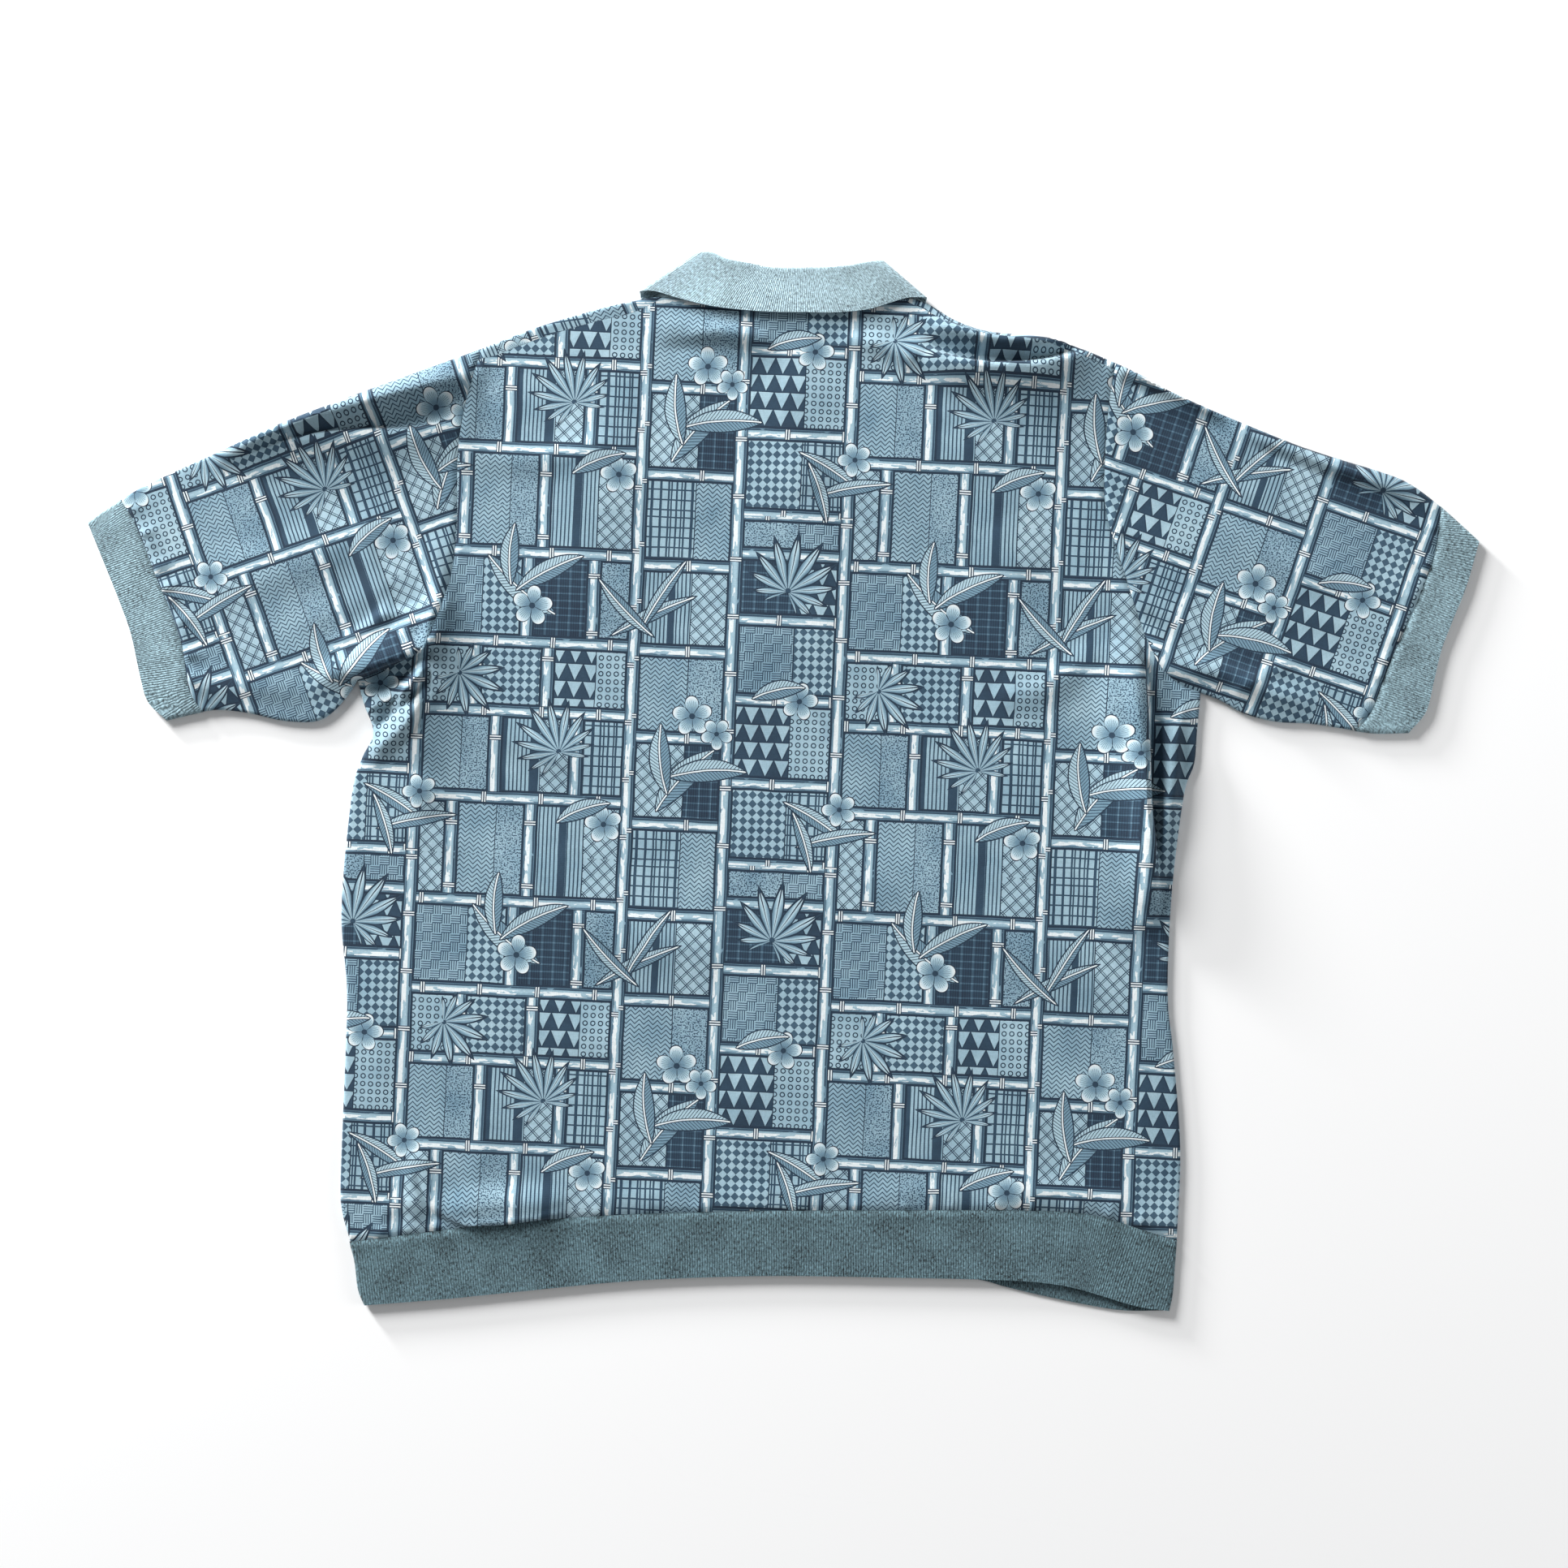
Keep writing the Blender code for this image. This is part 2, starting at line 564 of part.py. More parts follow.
def band_piece(rib, left, right, hem):
    parts = []
    for edge, level in ((HEM_EDGE_BACK, upper), (HEM_EDGE_FRONT, lower)):
        edge = stations(smooth(edge), STEP_HEM, (True, True))
        loop = loop_of(edge, right.band[::-1], hem[::-1], left.band)
        parts.append(layer(loop, level, UPPER_STEP, False))
    return Piece("hem_band", rib, parts)


def placket_pieces(cloth, slot):
    """The strip that shows, in the front's slot, and the strip under it, nearer the body."""
    count = len(SLOT_AT)
    right_edge, left_edge = slot[:count][::-1], slot[-count:]
    across = np.linspace(0, 1, 3)[None, :, None]
    plan = left_edge[:, None] * (1 - across) + right_edge[:, None] * across
    rows, columns = plan.shape[:2]
    cells = [
        (i * columns + j, (i + 1) * columns + j, (i + 1) * columns + j + 1, i * columns + j + 1)
        for i in range(rows - 1) for j in range(columns - 1)
    ]
    flat = lower(plan.reshape(-1, 2))
    under = flat.copy()
    under[:, 0] = PLACKET_X + (under[:, 0] - PLACKET_X) * 0.9
    under[:, 1] = PLACKET_FOOT + (under[:, 1] - PLACKET_FOOT) * 0.97
    under[:, 2] += (WALL + PLACKET_WALL) / 2 + LAYER_GAP
    return [
        Piece("placket_top", cloth, [(flat, cells)], PLACKET_WALL),
        Piece("placket_under", cloth, [(under, cells)], PLACKET_WALL),
    ]


def neck_stations(line):
    """A front neckline from the shoulder down, with the close stations that the collar's turn needs."""
    line = smooth(line)
    ends = np.array([0, *ROLL_AT, NECK_WRAP])
    rest = np.linspace(NECK_WRAP, lengths(line)[-1], round(lengths(line)[-1] / STEP_NECK) + 1)[1:]
    return at_length(line, np.concatenate([ends, rest]))


def slot_stations():
    """Down the slot's right edge, across its foot and up its left edge."""
    top = FRONT_NECK_LEFT[-1][1]
    low, high = PLACKET_X - PLACKET_WIDTH / 2, PLACKET_X + PLACKET_WIDTH / 2
    heights = [top + (PLACKET_FOOT - top) * share for share in SLOT_AT]
    down = [(high, y) for y in heights]
    up = [(low, y) for y in heights[::-1]]
    return np.array([*down, (PLACKET_X, PLACKET_FOOT), *up], float)


# ---------------------------------------------------------------- collar and buttons


def collar_piece(rib, neck, necks, left, right):
    """The collar, from one front end round the back of the neck to the other: up the stand and down the leaf."""
    half = LOFT / 2
    level = WALL / 2 + COLLAR_RISE + half
    back = upper(neck)
    wrap_left, wrap_right = (at_share(upper(side.neck_end), (0, 0.15, 0.5, 1)) for side in (left, right))
    low_left, low_right = lower(necks[0])[::-1], lower(necks[1])
    ends = lower(np.array([[PLACKET_X - 1.5, necks[0][-1, 1]], [PLACKET_X + 1.5, necks[1][-1, 1]]]))
    seam = np.vstack([
        ends[:1], low_left[:-1], wrap_left, back[1:-1], wrap_right[::-1], low_right[1:], ends[1:],
    ])
    n_low, n_roll = len(low_left), len(wrap_left)

    def line_at(back_line, left_line, right_line, depth):
        """Plan points of one of the collar's lines, and how each has turned: 1 on the upper layer, -1 on the lower."""
        back_line = smooth(back_line)
        whole = lengths(back_line)[-1]
        roll = np.array([0, depth * 0.29, depth, depth + 2.2])
        inner = lengths(neck)[1:-1] / lengths(neck)[-1]
        far = np.concatenate([roll, roll[-1] + (whole - 2 * roll[-1]) * inner, whole - roll[::-1]])
        plans, turns = [at_length(back_line, far)], [turn_at(np.minimum(far, whole - far), depth)]
        for line, low, order in ((left_line, seam[:n_low][::-1], -1), (right_line, seam[-n_low:], 1)):
            line = smooth(line)
            rest = lengths(low[2:, :2])[1:] / lengths(low[2:, :2])[-1]
            low_far = np.concatenate([roll[1:], roll[-1] + (lengths(line)[-1] - roll[-1]) * rest])
            plans.insert(0 if order < 0 else len(plans), at_length(line, low_far)[::order])
            turns.insert(0 if order < 0 else len(turns), -turn_at(low_far, depth)[::order])
        return np.vstack(plans), np.concatenate(turns)

    fold, fold_turn = line_at(FOLD_BACK, FOLD_FRONT_LEFT, FOLD_FRONT_RIGHT, half + LEAF_DROP / 2)
    edge, edge_turn = line_at(EDGE_BACK, EDGE_FRONT_LEFT, EDGE_FRONT_RIGHT, half + LEAF_DROP)
    seam_turn = np.clip((seam[:, 2] - level) / half, -1, 1)
    radius = LEAF_DROP / 2
    stand_way, leaf_way = unit(fold - seam[:, :2]), unit(fold - edge)
    outward = np.where(seam[:, :1] < 0, sideways(seam[n_low], fold[n_low]), -sideways(seam[-n_low - 1], fold[-n_low - 1]))

    def row(plan, turn, out, share=1.0):
        """Points that far out from the stand, in radii of the fold: sideways where the collar turns, else upwards."""
        shift = outward * (np.sqrt(1 - turn**2) * radius * (out - 1) * share)[:, None]
        return np.column_stack([plan + shift, level + turn * (half + radius * out)])

    rows = [seam]
    for share in STAND_AT:
        plan = seam[:, :2] * (1 - share) + (fold - stand_way * radius) * share
        points = row(plan, seam_turn * (1 - share) + fold_turn * share, 0, share)
        points[:, 2] += (seam[:, 2] - (level + half * seam_turn)) * (1 - share)
        rows.append(points)
    for back_by, out in ((1.0, 0.0), (0.29, 0.3), (0.0, 1.0)):
        rows.append(row(fold - stand_way * radius * back_by, fold_turn, out))
    for back_by, out in ((0.29, 1.7), (1.0, 2.0)):
        rows.append(row(fold - leaf_way * radius * back_by, fold_turn, out))
    for share in LEAF_AT:
        plan = (fold - leaf_way * radius) * (1 - share) + edge * share
        turn = fold_turn * (1 - share) + edge_turn * share
        points = row(plan, turn, 2, 1 - share)
        raised = np.maximum(loft(plan[:, 0], plan[:, 1]) - LOFT, 0) + COLLAR_LIFT * share**2 * lifted(plan)
        points[:, 2] += np.where(turn > 0, raised * turn, 0)
        rows.append(points)
    columns = len(seam)
    cells = [
        (i * columns + j, i * columns + j + 1, (i + 1) * columns + j + 1, (i + 1) * columns + j)
        for i in range(len(rows) - 1) for j in range(columns - 1)
    ]
    return Piece("collar", rib, [(np.vstack(rows), cells)], gap=COLLAR_SEAM_GAP)


def sideways(a, b):
    """The unit way to the left of the line from one point to another."""
    way = (b - a[:2]) / np.linalg.norm(b - a[:2])
    return np.array([-way[1], way[0]])


def turn_at(far, depth):
    return np.sqrt(1 - np.clip(1 - far / depth, 0, 1) ** 2)


def lifted(plan):
    """How far the leaf's free edge stands off the back: most in the middle, not at all at its ends."""
    return 1 - smoothstep(55, 95, np.abs(plan[:, 0]))


def buttons(plastic):
    """Round buttons with a raised rim and a hollow, their faces to the floor."""
    profile = (
        (0.0, 0.55), (0.5, 0.55), (0.62, 0.5), (0.72, 0.1), (0.82, 0.0), (0.93, 0.12), (1.0, 0.6),
        (0.97, 0.85), (0.8, 1.0), (0.0, 1.0),
    )
    turns = np.linspace(0, 2 * math.pi, BUTTON_SIDES, endpoint=False)
    for number, y in enumerate(BUTTON_Y, 1):
        rings = profile[1:-1]
        verts = [(PLACKET_X, y, BUTTON_CLEAR + profile[0][1] * BUTTON_THICK)]
        for share, height in rings:
            for turn in turns:
                reach = share * BUTTON_RADIUS
                z = BUTTON_CLEAR + height * BUTTON_THICK
                verts.append((PLACKET_X + reach * math.cos(turn), y + reach * math.sin(turn), z))
        verts.append((PLACKET_X, y, BUTTON_CLEAR + BUTTON_THICK))
        last = len(verts) - 1
        faces = []
        for j in range(BUTTON_SIDES):
            k = (j + 1) % BUTTON_SIDES
            faces.append((0, 1 + k, 1 + j))
            for i in range(len(rings) - 1):
                a, b = 1 + i * BUTTON_SIDES, 1 + (i + 1) * BUTTON_SIDES
                faces.append((a + j, a + k, b + k, b + j))
            base = 1 + (len(rings) - 1) * BUTTON_SIDES
            faces.append((base + j, base + k, last))
        add_object(f"button_{number}", verts, faces, plastic)


def centre_all():
    """Moves the shirt in plan so that its origin is at the middle of its box."""
    corners = [v.co for obj in bpy.data.objects for v in obj.data.vertices]
    middle = [(min(c[k] for c in corners) + max(c[k] for c in corners)) / 2 for k in (0, 1)]
    for obj in bpy.data.objects:
        for v in obj.data.vertices:
            v.co.x -= middle[0]
            v.co.y -= middle[1]


# ---------------------------------------------------------------- the whole shirt


def main():
    for obj in list(bpy.data.objects):
        bpy.data.objects.remove(obj)
    cloth = {
        name: make_material(name, colour, 0.85)
        for name, colour in (
            ("printed_jersey_back", (0.30, 0.43, 0.50)), ("printed_jersey_front", (0.30, 0.43, 0.50)),
            ("printed_jersey_sleeves", (0.30, 0.43, 0.50)), ("printed_jersey_placket", (0.30, 0.43, 0.50)),
            ("rib_collar", (0.33, 0.47, 0.52)), ("rib_cuffs", (0.33, 0.47, 0.52)), ("rib_hem", (0.20, 0.30, 0.34)),
        )
    }
    plastic = make_material("button_plastic", (0.16, 0.22, 0.26), 0.35)

    left, right = Side(0), Side(1)
    hem = stations(smooth(HEM_SEAM), STEP_HEM, (True, True))
    neck = smooth(BACK_NECK)
    neck = neck[(lengths(neck) > NECK_WRAP) & (lengths(neck) < lengths(neck)[-1] - NECK_WRAP)]
    neck = stations(np.vstack([left.neck_end[-1], neck, right.neck_end[-1]]), STEP_NECK)
    necks = [neck_stations(line) for line in (FRONT_NECK_LEFT, FRONT_NECK_RIGHT)]
    slot = slot_stations()

    pieces = [
        back_piece(cloth["printed_jersey_back"], left, right, hem, neck),
        front_piece(cloth["printed_jersey_front"], left, right, hem, necks, slot),
        *placket_pieces(cloth["printed_jersey_placket"], slot),
        *tube_pieces("left", cloth["printed_jersey_sleeves"], cloth["rib_cuffs"], left),
        *tube_pieces("right", cloth["printed_jersey_sleeves"], cloth["rib_cuffs"], right),
        band_piece(cloth["rib_hem"], left, right, hem),
        collar_piece(cloth["rib_collar"], neck, necks, left, right),
    ]
    build_walls(pieces)
    buttons(plastic)
    centre_all()


main()
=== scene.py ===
"""A polo shirt with knitted collar, cuffs and hem band, laid flat on its front with its back upwards.

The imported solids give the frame. Here each cut piece is made again as real cloth: a thin wall on the same
outlines and folds, with finer creases, seams and stitches, the printed jersey and the ribbed knit.
Plan sizes are millimetres, as in the solids' source: x to the right, y towards the collar, z up from the floor.
"""

import math

import bpy
import numpy as np
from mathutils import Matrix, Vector
from mathutils.geometry import delaunay_2d_cdt


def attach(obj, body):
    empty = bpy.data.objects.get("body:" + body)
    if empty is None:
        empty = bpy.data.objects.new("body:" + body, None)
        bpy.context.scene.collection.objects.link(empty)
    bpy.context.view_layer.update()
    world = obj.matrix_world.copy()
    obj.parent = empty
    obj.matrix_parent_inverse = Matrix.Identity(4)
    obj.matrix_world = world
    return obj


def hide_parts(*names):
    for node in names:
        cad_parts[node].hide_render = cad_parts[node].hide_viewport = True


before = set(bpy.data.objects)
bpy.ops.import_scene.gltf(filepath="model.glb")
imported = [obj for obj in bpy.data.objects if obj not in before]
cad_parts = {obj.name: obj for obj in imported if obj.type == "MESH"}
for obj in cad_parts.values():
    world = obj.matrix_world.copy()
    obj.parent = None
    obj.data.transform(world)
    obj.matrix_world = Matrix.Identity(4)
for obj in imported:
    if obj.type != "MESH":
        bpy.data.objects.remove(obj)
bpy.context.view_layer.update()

MM = 0.001
MIDDLE = np.array([0.5411, 1.2753, 0.0])  # the middle of the solids' box in plan

# Cloth
SOLID_WALL = 1.6
CLOTH = 1.0
RIB_CLOTH = 1.5
PLACKET_CLOTH = 0.9
SEAM_GAP = 0.12
COLLAR_SEAM_GAP = 0.8
LAYER_GAP = 0.4
LOFT = 3.2
LEAST_LOFT = 2.8
# Placket and buttons, on the front that lies on the floor
PLACKET_X = 3.0
PLACKET_WIDTH = 30.0
PLACKET_FOOT = 112.0
PLACKET_EXTRA_LOFT = 0.8
BUTTON_Y = (250.0, 195.0, 140.0)
BUTTON_RADIUS = 5.75
BUTTON_THICK = 2.0
BUTTON_CLEAR = 0.2

# What lifts the front off the floor: the collar's leaves lie under it, and so do the buttons
NECK_CENTRE = (1.0, 300.0)
NECK_REACH = (125.0, 95.0)
COLLAR_RISE = SOLID_WALL + LAYER_GAP + 0.3
BUTTON_RISE = BUTTON_CLEAR + BUTTON_THICK + LAYER_GAP
LEAF_DROP = 2.3  # between a collar leaf's middle and that of the cloth it lies on
COLLAR_LIFT = 1.6

# Outline: x, y of each station
TOP_LEFT = (  # neck, along the shoulder and sleeve, to the cuff's mouth
    (-90, 347.5), (-129, 339.3), (-175, 326), (-215.5, 310.5), (-267, 291.5), (-313, 274.3),
    (-359, 256.4), (-405, 235.8), (-451, 215.1), (-474, 202), (-497, 186),
)
TOP_RIGHT = (
    (91, 346.5), (103, 342.5), (124, 330), (147, 322.6), (193, 316.8), (237.8, 300.2), (285, 276),
    (331, 256.4), (377, 238.1), (423, 223.7), (446, 215.1), (468, 199.5), (498, 172.5),
)
UNDER_LEFT = (  # armpit to the cuff's mouth
    (-304, 74), (-314, 60), (-325, 49), (-337, 44.3), (-359, 45.4), (-382, 50.6), (-405, 52.9),
    (-424, 49.5), (-441, 45.4),
)
UNDER_RIGHT = (
    (298.7, 65), (312.5, 60), (331, 50), (354, 44.3), (377, 43.1), (400, 39.7), (423, 36.2), (448, 36.5),
)
SIDE_LEFT = (  # hem seam to armpit
    (-309, -328), (-314.5, -308), (-316, -285), (-312.5, -193), (-311.5, -147), (-315.4, -89),
    (-308, -8.6), (-301, 17), (-292.5, 36), (-299, 56), (-304, 74),
)
SIDE_RIGHT = (
    (281.5, -327), (284, -262), (279, -193), (275, -150), (278, -78), (286.6, -8.6), (294, 14),
    (296, 37), (298.7, 65),
)
BAND_LEFT = ((-310, -328), (-306, -342), (-303.5, -362), (-299, -373.5))
BAND_RIGHT = ((281.5, -327), (280, -345), (278.5, -365), (276, -377.5))

# Seams: x, y of each station
ARMHOLE_LEFT = (  # armpit to the shoulder's tip
    (-304, 74), (-289, 80), (-272.8, 88), (-254.4, 103.5), (-240, 139.7), (-233.5, 180), (-232.6, 233),
    (-226.8, 273), (-215.5, 310.5),
)
ARMHOLE_RIGHT = (
    (298.7, 65), (284, 71), (270, 84), (257.9, 108.7), (244.5, 149.6), (231, 196), (230.5, 236),
    (233.7, 275), (237.8, 300.2),
)
FRONT_SCOOP = 9.0
SHOULDER_WRAP = (8.0, 4.5)  # how far the front comes over the left and the right shoulder
NECK_WRAP = 4.0
CUFF_SEAM_LEFT = (
    (-473.5, 202.5), (-462.6, 184), (-449, 149.5), (-439, 125.4), (-430.4, 100.6), (-424, 66), (-415, 51.5),
)
CUFF_SEAM_RIGHT = ((471, 197), (466.4, 164), (455, 132.5), (438.4, 95.5), (429, 72), (421, 51), (410, 38))
CUFF_MOUTH_LEFT = ((-497, 186), (-484, 154), (-474, 129), (-466, 106), (-459.5, 76), (-454, 58), (-441, 45.4))
CUFF_MOUTH_RIGHT = ((498, 172.5), (489, 141), (479.8, 118), (471, 95), (465.5, 72), (460, 51), (448, 36.5))
HEM_SEAM = (
    (-309, -328), (-252.7, -320.9), (-197, -314.5), (-118.7, -308.8), (-20, -306), (78, -305.5), (170, -305.5),
    (206, -307), (229, -310.5), (262, -321), (281.5, -327),
)
HEM_EDGE_BACK = (
    (-299, -373.5), (-244, -369.2), (-198, -364.6), (-106, -355.9), (-14, -352.5), (78, -353.6), (150, -355.2),
    (183, -357.1), (205.6, -360.5), (229, -367), (253, -374.2), (276, -377.5),
)
HEM_EDGE_FRONT = (
    (-299, -373.5), (-244, -367.5), (-198, -363), (-106, -354.2), (-14, -351), (78, -352), (135, -354.8),
    (159, -360.5), (183, -366.3), (217.6, -373.5), (245, -377.6), (276, -377.5),
)
BACK_NECK = ((-90, 347.5), (-45, 343), (3, 342), (48, 343), (91, 346.5))
FRONT_NECK_LEFT = ((-90, 347.5), (-84, 318), (-66, 288), (-38, 269), (-12, 262))
FRONT_NECK_RIGHT = ((91, 346.5), (87, 318), (70, 288), (43, 269), (18, 262))

# The collar's other lines: where it folds, and its free edge
FOLD_BACK = (
    (-60, 379), (-50.5, 378.5), (-41, 374.2), (-25, 371), (-6.7, 367.8), (21, 367.8), (44.4, 369), (60, 372), (70, 373),
)
EDGE_BACK = (
    (-102.5, 350.5), (-91.9, 351), (-72.2, 345.1), (-50.2, 339.9), (-25.2, 337), (-3.8, 335.8), (18.3, 335.6),
    (36.8, 335.4), (60, 337.6), (75.7, 342.2), (89.6, 346.3), (103, 346.3),
)
FOLD_FRONT_LEFT = ((-60, 379), (-55, 350), (-41, 320), (-20, 299), (1.5, 291))
FOLD_FRONT_RIGHT = ((70, 373), (63, 348), (48, 320), (26, 299), (4.5, 291))
EDGE_FRONT_LEFT = ((-102.5, 350.5), (-98, 322), (-86, 287), (-66, 256), (-40, 226))
EDGE_FRONT_RIGHT = ((103, 346.3), (101, 320), (91, 287), (72, 256), (46, 226))

# Folds of the upper layer: height, width on the left and on the right of the crest as it runs, the crest's x, y
FOLDS = {
    "left shoulder roll": (6.5, 9, 13, ((-232, 287), (-270, 277), (-315, 265), (-360, 250), (-400, 233))),
    "left shoulder, under the roll": (3.0, 14, 6, ((-238, 256), (-275, 247), (-315, 247), (-350, 242))),
    "right shoulder roll": (3.0, 7, 7, ((104, 334), (125, 322), (155, 314), (195, 310))),
    "right shoulder fold": (7.0, 4, 17, ((100, 310), (122, 300), (150, 296.5), (185, 298), (214, 306))),
    "right sleeve roll": (5.0, 9, 6, ((245, 290), (275, 274), (305, 262))),
    "right sleeve roll, outer part": (3.5, 8, 8, ((365, 232), (410, 217), (445, 204))),
    "left armpit, sleeve side": (6.5, 7, 11, ((-330, 74), (-300, 93), (-268, 108), (-246, 128))),
    "left armpit, body side": (7.5, 5, 16, ((-284, 30), (-270, 62), (-256, 94), (-249, 120))),
    "left flank": (3.5, 14, 14, ((-262, 35), (-258, -26))),
    "right flank pleat": (8.5, 5.5, 20, ((245, 86), (251, 40), (255, -5), (258, -50), (261, -92))),
    "right flank, outer ridge": (4.5, 6, 6, ((281, 50), (279, 10), (274, -30), (270, -62))),
    "right armpit, sleeve side": (5.5, 8, 9, ((264, 100), (284, 84), (312, 80), (345, 66), (371, 58))),
    "left hem blousing": (4.5, 9, 6, ((-240, -302), (-200, -299), (-160, -297))),
    "left hem upright": (3.0, 9, 9, ((-262, -262), (-256, -300))),
    "right hem blousing": (2.6, 12, 9, ((150, -293), (200, -293), (245, -302))),
    "neck, left": (3.0, 8, 10, ((-88, 326), (-54, 325), (-20, 319))),
    "neck, right": (3.0, 9, 10, ((58, 319), (82, 312), (100, 303))),
    "left shoulder blade": (2.2, 26, 26, ((-120, 250), (-140, 170), (-120, 110))),
    "right shoulder blade": (2.4, 30, 24, ((120, 255), (150, 190), (165, 120))),
    "middle of the back": (2.0, 18, 18, ((8, 235), (18, 205))),
    "waist, left": (2.4, 24, 24, ((-200, -60), (-120, -110), (-40, -120))),
    "waist, right": (2.2, 26, 22, ((60, -60), (140, -100), (210, -150))),
    "left sleeve, lower": (2.4, 10, 12, ((-345, 66), (-385, 70), (-425, 66))),
    "right sleeve, middle": (2.6, 16, 16, ((300, 190), (350, 160), (400, 140))),
    "left sleeve, middle": (2.4, 16, 16, ((-280, 190), (-340, 160), (-400, 140))),
}

